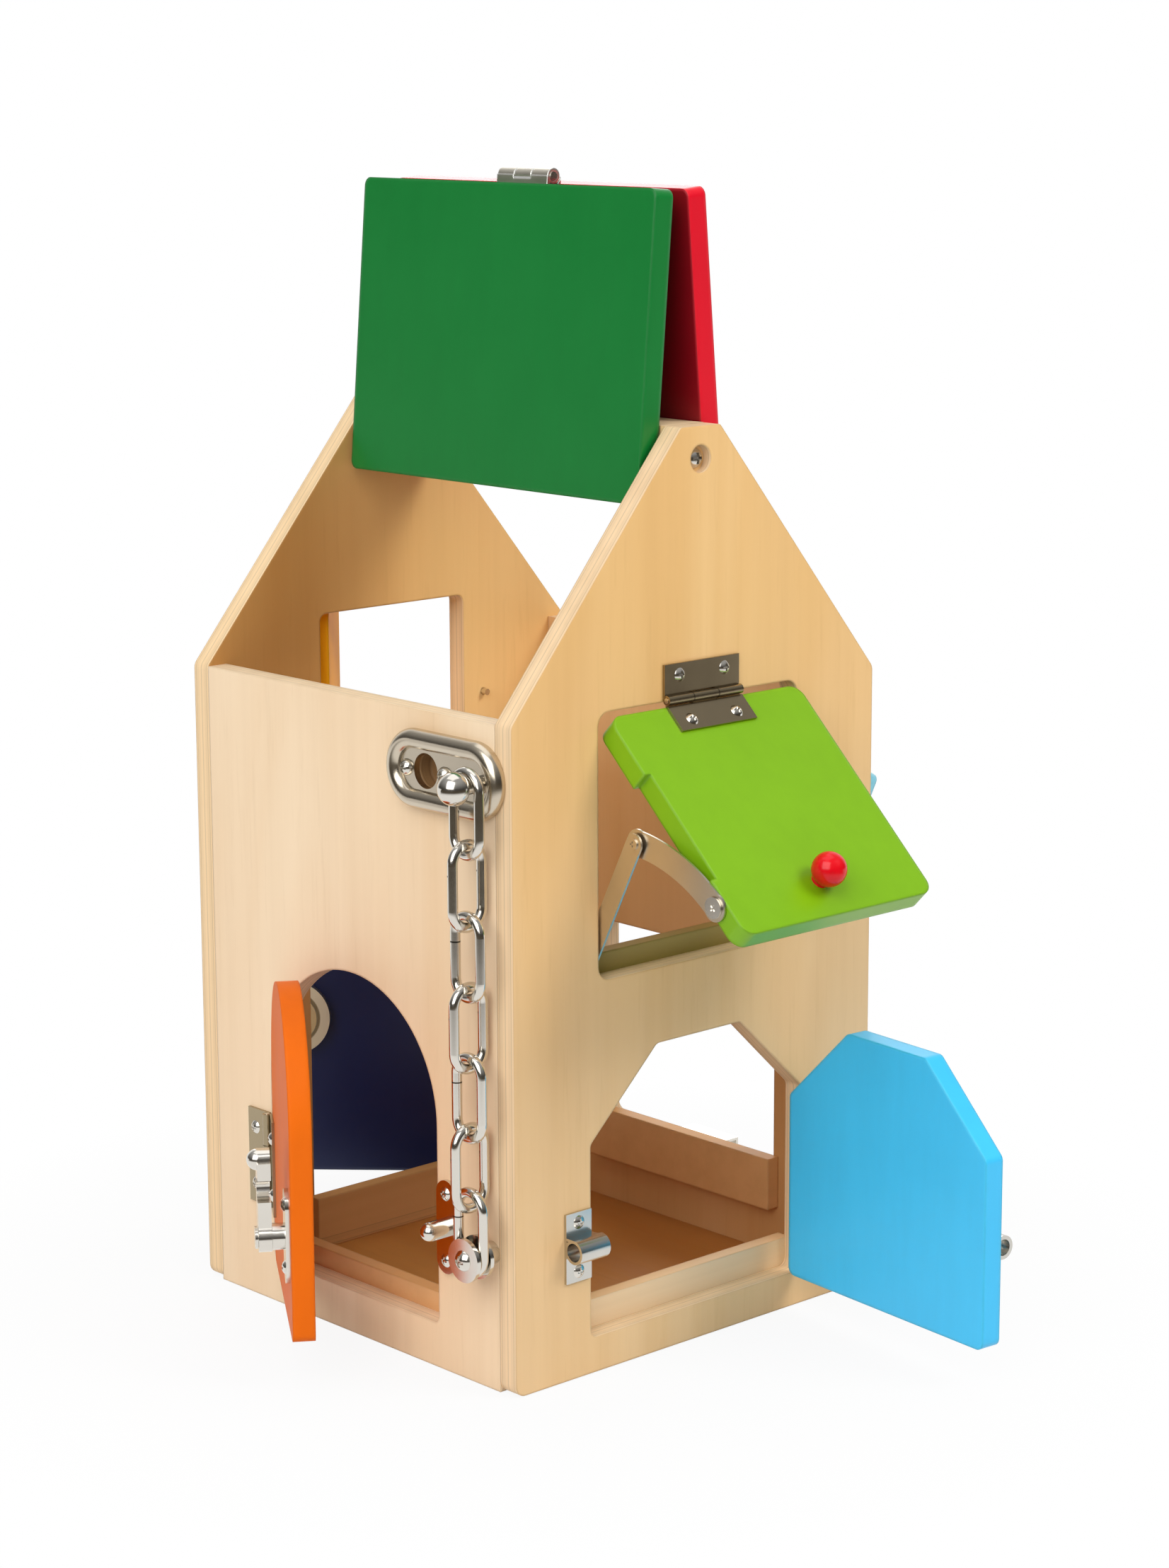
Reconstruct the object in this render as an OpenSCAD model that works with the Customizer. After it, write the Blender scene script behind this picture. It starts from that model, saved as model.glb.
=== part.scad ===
// Wooden lock house: a plywood play house whose doors, hatch, flap and roof
// close with different household fittings.
// Origin at the centre of the footprint on the ground, +Z up, front gable towards -Y,
// left wall towards -X. Every door is drawn shut in the house's frame, then swung open.

/* [House] */
// Width and depth of the square footprint
house_w = 170; // [166:1:200]
// Height of the side walls and of the gables' eaves
eave_h = 228; // [220:1:250]
// Height of the flat at the top of each gable
ridge_h = 319; // [305:1:340]
// Width of that flat and of the ridge beam behind it
ridge_w = 18; // [14:1:24]
// Height of the ridge beam
beam_h = 22; // [18:1:30]
// Thickness of the plywood walls
ply_t = 8; // [7:0.5:10]
// Radius of the gables' lower corners and eaves
gable_r = 4; // [2:0.5:6]
// Radius of the corners at the top of the gables
top_r = 1.6; // [1:0.2:3]
// Thickness of the floor panel
floor_t = 3; // [2:0.5:5]

/* [Openings] */
// Width of the hatch opening in the front gable
hatch_w = 94; // [80:1:100]
// Height of the hatch opening
hatch_h = 91; // [86:1:96]
// Sill of the hatch opening
hatch_sill = 137; // [130:1:145]
// Width of the front door opening
front_w = 102; // [90:1:110]
// Height of its upright sides
front_side = 68.5; // [64:0.5:74]
// Width of its flat top
front_top_w = 40; // [30:1:60]
// Height of the front door opening
front_h = 98; // [92:1:104]
// Sill of the front and back doors
front_sill = 12.5; // [8:0.5:18]
// Width of the arched opening in the left wall
arch_w = 91; // [84:1:94]
// Height of its upright sides
arch_side = 70; // [64:1:80]
// Sill of the arched opening
arch_sill = 15.5; // [10:0.5:20]
// Width of the back door opening
back_w = 84; // [76:1:96]
// Height of its upright sides
back_side = 91.5; // [86:0.5:100]
// Slope of its pointed top in degrees
back_pitch = 24; // [15:1:35]
// Width of the window in the back gable
window_w = 68.5; // [60:0.5:74]
// Height of the window
window_h = 76; // [66:1:80]
// Sill of the window
window_sill = 165; // [158:1:175]
// Width of the flap opening in the right wall
flap_w = 92; // [80:1:100]
// Height of the flap opening
flap_h = 77; // [70:1:90]
// Sill of the flap opening
flap_sill = 37; // [34:0.5:44]
// Radius of the corners of the openings and their doors
corner_r = 3; // [1:0.5:6]
// Radius of the hatch's corners
hatch_r = 5; // [3:0.5:8]

/* [Doors] */
// Thickness of the doors
door_t = 7.7; // [6.5:0.1:7.8]
// Gap between a door and its opening
door_gap = 1.4; // [1.2:0.1:2]
// Gap above and below the hatch
hatch_gap = 0.8; // [0.7:0.1:1.5]
// Gap at the hatch's left side, where the folding stay lies
stay_gap = 3.4; // [3.4:0.1:5]
// How far the hatch stands open in degrees
hatch_open = 46; // [20:1:50]
// How far the front door stands open
front_open = 85; // [0:1:120]
// How far the arched door stands open
arch_open = 34; // [0:1:120]
// How far the back door stands open
back_open = 45; // [0:1:120]
// How far the window door stands open
window_open = 48; // [0:1:120]
// How far the flap stands open
flap_open = 150; // [0:1:154]

/* [Door stops] */
// Height of the stop strips behind the openings
stop_h = 19.5; // [14:0.5:24]
// Thickness of the stop strips
stop_t = 5.5; // [3:0.5:8]
// How far a strip runs past each side of its opening
stop_over = 2.5; // [1:0.5:5]
// How far the hatch, window and flap strips stand above their sills
stop_rise = 7; // [3:0.5:10]

/* [Hinges] */
// Length of the door hinges
hinge_len = 35; // [24:1:40]
// Width of a hinge leaf from the pin's axis
hinge_leaf = 12; // [10:0.5:14]
// Thickness of a hinge leaf
leaf_t = 1; // [0.8:0.1:1.2]
// Diameter of the hinge barrel
barrel_d = 3.4; // [3:0.1:4]
// Diameter of the hinge pin
pin_d = 1.8; // [1.2:0.1:2.2]
// Distance between a leaf's two screws
hinge_pitch = 21; // [14:0.5:26]
// Distance of those screws from the pin's axis
hinge_screw = 8; // [6:0.5:9]
// Distance of the pin's axis outside the opening's edge
hinge_shift = 0.6; // [0:0.1:1]
// Height of the arched, front and back doors' hinges above the ground
door_hinge_z = 53; // [46:1:60]

/* [Screws] */
// Diameter of the small screws
screw_d = 2.4; // [2:0.1:3]
// Length of their thread in the wood
screw_len = 5; // [3:0.5:6]
// Diameter of their domed heads
head_d = 4.8; // [4:0.1:5.5]
// Height of their domed heads
head_h = 1.2; // [0.8:0.1:1.6]
// Diameter of the ridge screws
ridge_screw_d = 4; // [3:0.1:5]
// Diameter of the ridge screws' sunk heads
ridge_head_d = 7.2; // [6.4:0.2:9]
// Depth of the counterbores for those heads
ridge_sink = 3.5; // [3:0.5:5]
// Height of the ridge screws below the flat of the gables
ridge_drop = 11; // [8:0.5:13]

/* [Hatch fittings] */
// Diameter of the ball knob
knob_d = 12; // [10:0.2:12.6]
// Height of the ball's centre above the hatch
knob_lift = 6.4; // [6.4:0.1:9]
// Distance of the ball from the hatch's lower edge
knob_from_edge = 13.5; // [11:0.5:20]
// Length of the stay's lower link
stay_a = 46; // [44:0.5:48]
// Length of the stay's upper link
stay_b = 39; // [38:0.5:40]
// Width of the lower link
stay_w = 7; // [5:0.5:8]
// Width of the upper link
strap_w = 9; // [7:0.5:10]
// Thickness of the links
stay_t = 0.8; // [0.6:0.1:0.8]
// Height of the stay's foot above the hatch sill
stay_foot_up = 8.5; // [7:0.5:12]
// Depth of the stay's pivots behind the front face
stay_in = 4.5; // [3.5:0.1:5]
// Slack round the screw at the stay's upper end
stay_slack = 1.8; // [1.75:0.05:2]
// Rise of the upper link's curve above its chord
stay_bow = 3; // [1:0.5:5]
// Depth of the recess for the folded stay in the hatch's edge
notch_in = 2.5; // [1:0.5:4]
// Distance of the recess's upper end from the hatch's upper edge
notch_from = 24; // [18:1:28]
// Distance of its lower end from the hatch's upper edge
notch_to = 67; // [50:1:68]

/* [Barrel bolt] */
// Height of the bolt above the ground
bolt_z = 47; // [40:1:52]
// Diameter of the bolt's rod
rod_d = 5.6; // [4.8:0.1:5.8]
// Outside diameter of its tubes
tube_d = 8.4; // [7.8:0.1:9]
// Distance of the rod's axis from the wood
bolt_off = 4.6; // [4.4:0.1:6]
// Length of the bolt's plate
bolt_l = 38; // [32:1:46]
// Height of the bolt's and the keeper's plates
bolt_h = 24.5; // [18:0.5:28]
// Length of each tube
tube_l = 9; // [8:0.5:9]
// Distance of the bolt's plate from the door's free edge
bolt_edge = 3.5; // [2:0.5:6]
// Distance of the drawn-back rod's end inside its tube
rod_in = 3.5; // [1:0.5:6]
// Width of the keeper's plate
keeper_w = 11.5; // [9:0.5:14]
// Clearance round the rod in the keeper
keeper_fit = 0.4; // [0.3:0.05:0.6]

/* [Hook fastener] */
// Height of the hook and its keeper above the ground
hook_z = 52; // [46:1:58]
// Length of the hook's and keeper's oblong plates
hook_plate_l = 33; // [26:0.5:38]
// Width of the hook's plate
hook_plate_w = 12; // [10:0.5:14]
// Width of the keeper's plate
nose_plate_w = 9.5; // [8:0.5:12]
// Distance from the hook's pivot to the keeper's nose
hook_reach = 16.7; // [16:0.1:18]
// Diameter of the keeper's nose
nose_d = 6.6; // [5:0.1:7]
// Length of the nose from the wall
nose_l = 11.8; // [11:0.2:14]
// Distance of the hook from the wood
hook_off = 5.8; // [4.8:0.1:6]
// Thickness of the hook
hook_t = 4.5; // [3:0.5:5]
// Length of the hook from its pivot
hook_l = 30; // [28.5:0.1:30.2]
// Diameter of the thumb knob at the hook's end
thumb_d = 7.4; // [6:0.2:7.6]
// Length of the thumb knob beyond the hook
thumb_l = 3.2; // [3.2:0.2:6]
// Clearance round the nose in the hook
hook_fit = 0.5; // [0.4:0.1:0.8]

/* [Cam lock] */
// Height of the lock above the ground
lock_z = 76; // [70:1:90]
// Distance of the lock's axis from the door's free edge
lock_edge = 16.5; // [16:0.5:18]
// Diameter of the lock's barrel
lock_d = 19; // [16:0.5:20]
// Diameter of the lock's outer flange
flange_d = 25; // [22:0.5:28]
// Diameter of the ring nut inside the door
nut_d = 29; // [25:0.5:31]
// Thickness of the ring nut
nut_t = 3.5; // [2.5:0.5:5]
// Diameter of the turning plug
plug_d = 11; // [8:0.5:12]
// Length of the cam from the lock's axis
cam_l = 20; // [19:0.5:20.5]
// Width of the cam
cam_w = 7; // [5:0.5:7]
// Thickness of the cam
cam_t = 2; // [1.5:0.5:3]

/* [Turn button] */
// Length of the turn button
button_l = 27; // [24:1:30]
// Width of the turn button
button_w = 10; // [8:0.5:11]
// Thickness of the turn button
button_t = 5; // [3:0.5:7]
// Distance of its pivot from the window's edge
button_edge = 9.5; // [8.5:0.5:11]
// How far its screw comes out inside the gable
button_tip = 2.5; // [1:0.5:4]

/* [Toggle latch] */
// Width of the latch's base plate
latch_w = 22; // [18:1:24]
// Width of the folded catch below the flap
catch_w = 24; // [20:1:25]
// Distance of the catch's lip from the wall
catch_out = 7.5; // [7:0.5:8]
// Height of the catch
catch_h = 22; // [18:1:26]
// Height of the lever's pivot above the flap's lower edge
latch_up = 17.6; // [16:0.2:20]
// Distance of the lever's pivot from the flap
latch_off = 4.5; // [4:0.5:6]
// Length of the lever
lever_l = 22; // [18:1:24]
// Distance from the lever's pivot to the bail's pivot
bail_crank = 6; // [5:0.5:6]
// Diameter of the bail's wire
bail_d = 2; // [1.5:0.1:2.2]

/* [Chain] */
// Distance of the chain's centre line from the wall
chain_off = 9.4; // [9:0.1:11]
// Diameter of the link's wire
link_wire = 3.5; // [3:0.1:3.8]
// Inside width of a link
link_in = 9; // [8.6:0.1:9.2]
// Clearance between hooked links
link_gap = 0.3; // [0.2:0.05:0.5]
// Slack at the fixed lowest link
link_slack = 1.5; // [1.3:0.1:2]
// Distance of the chain from the house's front face
chain_in = 11.5; // [10.5:0.5:14]
// Height of the stud and its plate
stud_z = 208.5; // [200:0.5:212]
// Height of the screw at the chain's lower end
anchor_z = 48.5; // [44:0.5:52]
// Diameter of the necks that the chain hangs on
neck_d = 5.5; // [5:0.1:6]
// Diameter of the stud's ball
stud_d = 11.2; // [10:0.1:11.4]
// Diameter of the washers at the lower end
washer_d = 15; // [12:0.5:16]
// Length of the oblong chain plate
plate_l = 57; // [54:0.5:60]
// Width of the chain plate
plate_w = 27; // [24:0.5:30]
// Height of the plate's raised rim
plate_h = 5; // [4:0.5:5.5]
// Diameter of the plate's entry hole
plate_hole = 12; // [11.9:0.1:12.6]
// Depth of the pocket in the wall behind that hole
plate_pocket = 5; // [3:0.5:6]
// Distance of the plate's end from the house's front face
plate_in = 2.5; // [2:0.5:3]

/* [Roof] */
// Length of the roof boards down the slope
roof_l = 104; // [96:1:110]
// Thickness of the roof boards
roof_t = 8; // [6:0.5:9]
// Radius of the boards' corners
roof_r = 3; // [1:0.5:6]
// Gap between the boards and the gables
roof_gap = 1.8; // [0.5:0.1:3]
// Height of the roof hinge above the gables while the roof is raised
roof_lift = 80; // [76:0.5:84]
// Lean of each raised board in degrees
roof_lean = 4.8; // [4.8:0.1:8]
// Length of the roof hinge
roof_hinge_l = 26; // [24:1:40]
// Diameter of the roof hinge's barrel
roof_barrel = 5.5; // [5:0.1:6]
// Diameter of the roof hinge's pin
roof_pin_d = 3; // [2.5:0.1:3.4]
// Width of the roof hinge's leaves
roof_leaf = 18; // [14:0.5:22]
// Thickness of the roof hinge's leaves
roof_leaf_t = 1.3; // [1:0.1:1.5]

/* [Hidden] */
$fn = 48;

eps = 0.01;
run_fit = 0.05;
pilot_fit = 0.05;
seat_gap = 0.1;
knuckle_gap = 0.3;
clear_gap = 0.3;
past = 1;
edge_gap = 0.5;
head_rim = 1.2;
cross_l = 0.55;
cross_w = 0.16;

wood = [0.90, 0.76, 0.55];
wood_dark = [0.72, 0.52, 0.33];
lime = [0.45, 0.73, 0.12];
sky = [0.25, 0.60, 0.88];
orange = [0.94, 0.42, 0.08];
navy = [0.06, 0.07, 0.25];
amber = [0.95, 0.62, 0.10];
cyan = [0.55, 0.85, 0.92];
green = [0.10, 0.50, 0.22];
red = [0.88, 0.07, 0.16];
nickel = [0.72, 0.71, 0.69];

half = house_w / 2;
inner = half - ply_t;
hatch_top = hatch_sill + hatch_h;
flap_top = flap_sill + flap_h;
front_top = front_sill + front_h;
arch_spring = arch_sill + arch_side;
face_off = barrel_d / 2 + seat_gap;

// Each hinge: a point on its axis, the turn that brings the hinge's own frame into the house,
// the axis, and how far its door stands open. In the hinge's own frame Z is the pin,
// +X runs onto the frame, -X onto the door and +Y out of the wood.
HATCH = 0;
FRONT = 1;
ARCH = 2;
BACK = 3;
WINDOW = 4;
FLAP = 5;
HINGES = [
    [[0, -half - face_off, hatch_top + hinge_shift], 180, [1, 0, 1], [1, 0, 0], hatch_open],
    [[front_w / 2 + hinge_shift, -half - face_off, door_hinge_z], 180, [1, 0, 0], [0, 0, -1], front_open],
    [[-half - face_off, arch_w / 2 + hinge_shift, door_hinge_z], 90, [0, 0, 1], [0, 0, 1], arch_open],
    [[back_w / 2 + hinge_shift, half + face_off, door_hinge_z], 0, [0, 0, 1], [0, 0, 1], back_open],
    [[-window_w / 2 - hinge_shift, half + face_off, window_sill + window_h / 2], 180, [0, 1, 0],
        [0, 0, -1], window_open],
    [[half + face_off, 0, flap_top + hinge_shift], -120, [1, 1, 1], [0, 1, 0], flap_open]
];

// Swings what is drawn shut in the house's frame open about hinge i
module hung(i) {
    translate(HINGES[i][0])
        rotate(a = -HINGES[i][4], v = HINGES[i][3])
            translate(-HINGES[i][0])
                children();
}

// Brings what is drawn in a hinge's own frame to hinge i, with the door shut
module at_hinge(i) {
    translate(HINGES[i][0])
        rotate(a = HINGES[i][1], v = HINGES[i][2])
            children();
}

// Plates with their outline in the X-Z plane, from y0 over a thickness t
module front_plate(y0, t) {
    rotate([90, 0, 0])
        translate([0, 0, -y0 - t])
            linear_extrude(t)
                children();
}

// Plates with their outline in the Y-Z plane, from x0 over a thickness t
module side_plate(x0, t) {
    rotate([90, 0, 90])
        translate([0, 0, x0])
            linear_extrude(t)
                children();
}

// Points on the outer faces, with +Z of what is placed there facing out
module on_front(p) {
    translate([p[0], -half, p[1]])
        rotate([90, 0, 0])
            children();
}

module on_back(p) {
    translate([p[0], half, p[1]])
        rotate([-90, 0, 0])
            children();
}

module on_left(p) {
    translate([-half, p[0], p[1]])
        rotate([0, -90, 0])
            children();
}

module on_right(p) {
    translate([half, p[0], p[1]])
        rotate([0, 90, 0])
            children();
}

// Rectangle of size w by h, centred on x, standing on z, with round corners
module round_rect(w, h, r) {
    translate([-w / 2, r])
        square([w, h - 2 * r]);
    translate([-w / 2 + r, 0])
        square([w - 2 * r, h]);
    for (x = [-w / 2 + r, w / 2 - r], z = [r, h - r])
        translate([x, z])
            circle(r);
}

// Oblong with round ends, l long over all along Y and w wide, centred
module oblong(l, w) {
    square([w, l - w], center = true);
    for (y = [-1, 1] * (l - w) / 2)
        translate([0, y])
            circle(d = w);
}

// Screw whose domed head, d wide and h high, sits at height seat above the wood
module wood_screw(seat, d = head_d, h = head_h) {
    translate([0, 0, seat])
        domed_head(d, h);
    translate([0, 0, -screw_len])
        cylinder(d = screw_d, h = screw_len + seat + eps);
}

// Domed screw head with a cross recess
module domed_head(d, h) {
    dome_r = (h * h + d * d / 4) / (2 * h);
    difference() {
        intersection() {
            cylinder(d = d, h = h);
            translate([0, 0, h - dome_r])
                sphere(r = dome_r);
        }
        translate([0, 0, h / 2])
            linear_extrude(h)
                cross_outline(d);
    }
}

// Outline of the cross recess in a head of diameter d
module cross_outline(d) {
    for (a = [0, 90])
        rotate(a)
            square([d * cross_l, d * cross_w], center = true);
}

// Hole for that screw through a plate and into the wood
module screw_hole() {
    translate([0, 0, -screw_len - seat_gap])
        cylinder(d = screw_d + 2 * pilot_fit, h = 2 * screw_len + 2 * seat_gap);
}

// Places on a hinge leaf's face where its screws go, in the hinge's own frame
module leaf_places(side) {
    for (z = [-1, 1] * hinge_pitch / 2)
        translate([side * hinge_screw, -face_off, z])
            rotate([-90, 0, 0])
                children();
}

// Half of a butt hinge, side 1 on the frame and -1 on the door. The frame's half has the
// outer two of the three knuckles.
module hinge_half(side) {
    third = hinge_len / 3;
    own = side > 0 ? [-1, 1] : [0];
    other = side > 0 ? [0] : [-1, 1];
    difference() {
        union() {
            translate([side > 0 ? 0 : -hinge_leaf, -face_off, -hinge_len / 2])
                cube([hinge_leaf, leaf_t, hinge_len]);
            for (k = own)
                translate([0, 0, k * third])
                    cylinder(d = barrel_d, h = third - knuckle_gap, center = true);
        }
        for (k = other)
            translate([0, 0, k * third])
                cylinder(d = barrel_d + 2 * knuckle_gap, h = third + knuckle_gap, center = true);
        cylinder(d = pin_d + 2 * run_fit, h = hinge_len + 2 * past, center = true);
        leaf_places(side)
            screw_hole();
    }
}

// Outlines of the openings; g is the gap by which a door is smaller all round
module hatch_outline(left, right, g) {
    translate([(left - right) / 2, hatch_sill + g])
        round_rect(hatch_w - left - right, hatch_h - 2 * g, hatch_r);
}

module front_outline(g) {
    w = front_w / 2;
    shoulder = front_sill + front_side;
    slope = (front_top - shoulder) / (w - front_top_w / 2);
    inset = g * sqrt(1 + slope * slope);
    side_z = shoulder + g * slope - inset;
    top_x = w - (front_top - g - shoulder + inset) / slope;
    soft_polygon(
        [
            [-w + g, front_sill + g], [w - g, front_sill + g], [w - g, side_z],
            [top_x, front_top - g], [-top_x, front_top - g], [-w + g, side_z]
        ],
        [for (i = [1:6]) corner_r]
    );
}

module arch_outline(g) {
    r = arch_w / 2 - g;
    foot = r - corner_r;
    translate([-r, arch_sill + g + corner_r])
        square([2 * r, arch_side - g - corner_r]);
    translate([-foot, arch_sill + g])
        square([2 * foot, arch_side - g]);
    for (x = [-foot, foot])
        translate([x, arch_sill + g + corner_r])
            circle(corner_r);
    translate([0, arch_spring])
        circle(r, $fn = 96);
}

module back_outline(g) {
    w = back_w / 2 - g;
    side_z = front_sill + back_side + g * (tan(back_pitch) - 1 / cos(back_pitch));
    soft_polygon(
        [
            [-w, front_sill + g], [w, front_sill + g], [w, side_z],
            [0, side_z + w * tan(back_pitch)], [-w, side_z]
        ],
        [for (i = [1:5]) corner_r]
    );
}

module window_outline(g) {
    translate([0, window_sill + g])
        round_rect(window_w - 2 * g, window_h - 2 * g, corner_r);
}

module flap_outline(g) {
    translate([0, flap_sill + g])
        round_rect(flap_w - 2 * g, flap_h - 2 * g, corner_r);
}

module gable_outline() {
    soft_polygon(
        [
            [-half, 0], [half, 0], [half, eave_h],
            [ridge_w / 2, ridge_h], [-ridge_w / 2, ridge_h], [-half, eave_h]
        ],
        [gable_r, gable_r, gable_r, top_r, top_r, gable_r]
    );
}

// Convex polygon p with its corners rounded to the radii r
module soft_polygon(p, r) {
    n = len(p);
    before = [for (i = [0:n - 1]) toward(p[i], p[(i + n - 1) % n])];
    after = [for (i = [0:n - 1]) toward(p[i], p[(i + 1) % n])];
    half_angle = [for (i = [0:n - 1]) acos(before[i] * after[i]) / 2];
    run = [for (i = [0:n - 1]) r[i] / tan(half_angle[i])];
    polygon([for (i = [0:n - 1]) each [p[i] + run[i] * before[i], p[i] + run[i] * after[i]]]);
    for (i = [0:n - 1])
        translate(p[i] + r[i] / sin(half_angle[i]) * toward([0, 0], before[i] + after[i]))
            circle(r[i]);
}

function toward(a, b) = (b - a) / norm(b - a);

ridge_under = 1;
ridge_room = 1.1;

// Ridge screw with its head at the bottom of a counterbore, placed on a gable's outer face
module ridge_screw() {
    translate([0, 0, -ridge_sink])
        domed_head(ridge_head_d, ridge_sink - ridge_under);
    translate([0, 0, -ply_t - ridge_drop])
        cylinder(d = ridge_screw_d, h = ply_t + ridge_drop - ridge_sink + eps);
}

module ridge_bore() {
    translate([0, 0, -ridge_sink])
        cylinder(d = ridge_head_d + 2 * ridge_room, h = ridge_sink + past);
    translate([0, 0, -ply_t - ridge_drop - past])
        cylinder(d = ridge_screw_d + 2 * pilot_fit, h = ply_t + ridge_drop + past);
}

// Walls, floor and ridge beam
module front_gable() {
    color(wood)
        difference() {
            front_plate(-half, ply_t)
                gable_outline();
            front_plate(-half - past, ply_t + 2 * past) {
                hatch_outline(0, 0, 0);
                front_outline(0);
            }
            on_front([0, ridge_h - ridge_drop])
                ridge_bore();
            for (i = [HATCH, FRONT])
                at_hinge(i)
                    leaf_places(1)
                        screw_hole();
            bolt_keeper_places()
                screw_hole();
            stay_foot_place()
                screw_hole();
        }
}

module back_gable() {
    color(wood)
        difference() {
            front_plate(inner, ply_t)
                gable_outline();
            front_plate(inner - past, ply_t + 2 * past) {
                back_outline(0);
                window_outline(0);
            }
            on_back([0, ridge_h - ridge_drop])
                ridge_bore();
            for (i = [BACK, WINDOW])
                at_hinge(i)
                    leaf_places(1)
                        screw_hole();
            on_back(button_place)
                translate([0, 0, -ply_t - past])
                    cylinder(d = screw_d + 2 * pilot_fit, h = ply_t + 2 * past);
        }
}

module left_wall() {
    color(wood)
        difference() {
            side_plate(-half, ply_t)
                translate([-inner, 0])
                    square([2 * inner, eave_h]);
            side_plate(-half - past, ply_t + 2 * past)
                arch_outline(0);
            at_hinge(ARCH)
                leaf_places(1)
                    screw_hole();
            hook_keeper_places()
                screw_hole();
            chain_plate_places()
                screw_hole();
            on_left([hole_y, stud_z])
                translate([0, 0, -plate_pocket])
                    cylinder(d = plate_hole, h = plate_pocket + past);
            on_left([stud_y, anchor_z])
                screw_hole();
        }
}

module right_wall() {
    color(wood)
        difference() {
            side_plate(inner, ply_t)
                translate([-inner, 0])
                    square([2 * inner, eave_h]);
            side_plate(inner - past, ply_t + 2 * past)
                flap_outline(0);
            at_hinge(FLAP)
                leaf_places(1)
                    screw_hole();
            catch_places()
                screw_hole();
        }
}

module floor_panel() {
    color(wood_dark)
        translate([-inner, -inner, 0])
            cube([2 * inner, 2 * inner, floor_t]);
}

module ridge_beam() {
    color(wood_dark)
        difference() {
            translate([-ridge_w / 2, -inner, ridge_h - beam_h])
                cube([ridge_w, 2 * inner, beam_h]);
            on_front([0, ridge_h - ridge_drop])
                ridge_bore();
            on_back([0, ridge_h - ridge_drop])
                ridge_bore();
        }
}

// Strips that stop the shut doors, glued behind the lower edge of each opening
module stop_strips() {
    color(wood_dark) {
        front_strip(-inner, front_w, floor_t);
        front_strip(-inner, hatch_w, hatch_sill + stop_rise - stop_h);
        front_strip(inner - stop_t, back_w, floor_t);
        front_strip(inner - stop_t, window_w, window_sill + stop_rise - stop_h);
        side_strip(-inner, arch_w, floor_t);
        side_strip(inner - stop_t, flap_w, flap_sill + stop_rise / 2 - stop_h);
    }
}

module front_strip(y0, w, z0) {
    l = w + 2 * stop_over;
    translate([-l / 2, y0, z0])
        cube([l, stop_t, stop_h]);
}

module side_strip(x0, w, z0) {
    l = w + 2 * stop_over;
    translate([x0, -l / 2, z0])
        cube([stop_t, l, stop_h]);
}

// Frame halves of the six door hinges, and their pins
module frame_hinge_leaves() {
    color(nickel)
        for (i = [HATCH:FLAP])
            at_hinge(i)
                hinge_half(1);
}

module frame_hinge_pins() {
    color(nickel)
        for (i = [HATCH:FLAP])
            at_hinge(i)
                cylinder(d = pin_d, h = hinge_len, center = true);
}

// Every screw in the walls
module house_screws() {
    color(nickel) {
        for (i = [HATCH:FLAP])
            at_hinge(i)
                leaf_places(1)
                    wood_screw(leaf_t);
        bolt_keeper_places()
            wood_screw(leaf_t);
        hook_keeper_places()
            wood_screw(hook_plate_t);
        chain_plate_places()
            wood_screw(plate_floor, plate_head_d, plate_head_h);
        catch_places()
            wood_screw(leaf_t);
        on_front([0, ridge_h - ridge_drop])
            ridge_screw();
        on_back([0, ridge_h - ridge_drop])
            ridge_screw();
        on_back(button_place)
            button_screw();
        stay_foot_place()
            stay_screw(stay_t + 2 * seat_gap, foot_shoulder, 2 * screw_d);
    }
}

// A door's half of hinge i, swung with the door, and its screws and their holes
module door_leaf(i) {
    color(nickel)
        hung(i)
            at_hinge(i)
                hinge_half(-1);
}

module door_leaf_screws(i) {
    hung(i)
        at_hinge(i)
            leaf_places(-1)
                wood_screw(leaf_t);
}

module door_leaf_holes(i) {
    at_hinge(i)
        leaf_places(-1)
            screw_hole();
}

// Hatch. The folding stay lies in the gap at its left side. Distances across that gap
// are counted from the opening's left side.
reveal_x = -hatch_w / 2;
hatch_edge_x = reveal_x + stay_gap;
rivet_head = 0.5;
lower_from = seat_gap + rivet_head + run_fit;
upper_to = stay_gap - 2 * seat_gap;
upper_from = upper_to - stay_t;
foot_shoulder = lower_from - run_fit;
stay_head_h = 0.65;
knee_d = 1.6 * screw_d;
tab_over = 0.6;

// The stay's pivots as [y, z]: foot on the frame, tip on the hatch, knee between them
stay_foot = [-half + stay_in, hatch_sill + stay_foot_up];
stay_tip_shut = stay_foot + [0, stay_a - stay_b];
hatch_pivot = [HINGES[HATCH][0][1], HINGES[HATCH][0][2]];
stay_tip = swung(stay_tip_shut - hatch_pivot, hatch_open) + hatch_pivot;
stay_span = norm(stay_tip - stay_foot);
stay_dir = (stay_tip - stay_foot) / stay_span;
stay_along = (stay_a * stay_a - stay_b * stay_b + stay_span * stay_span) / (2 * stay_span);
stay_height = sqrt(stay_a * stay_a - stay_along * stay_along);
stay_knee = stay_foot + stay_along * stay_dir + stay_height * [stay_dir[1], -stay_dir[0]];
function swung(p, a) = [p[0] * cos(a) + p[1] * sin(a), -p[0] * sin(a) + p[1] * cos(a)];

// The stay's foot on the opening's side and its tip on the shut hatch's edge
module stay_foot_place() {
    translate([reveal_x, stay_foot[0], stay_foot[1]])
        rotate([0, 90, 0])
            children();
}

module stay_tip_place() {
    translate([hatch_edge_x, stay_tip_shut[0], stay_tip_shut[1]])
        rotate([0, -90, 0])
            children();
}

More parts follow.
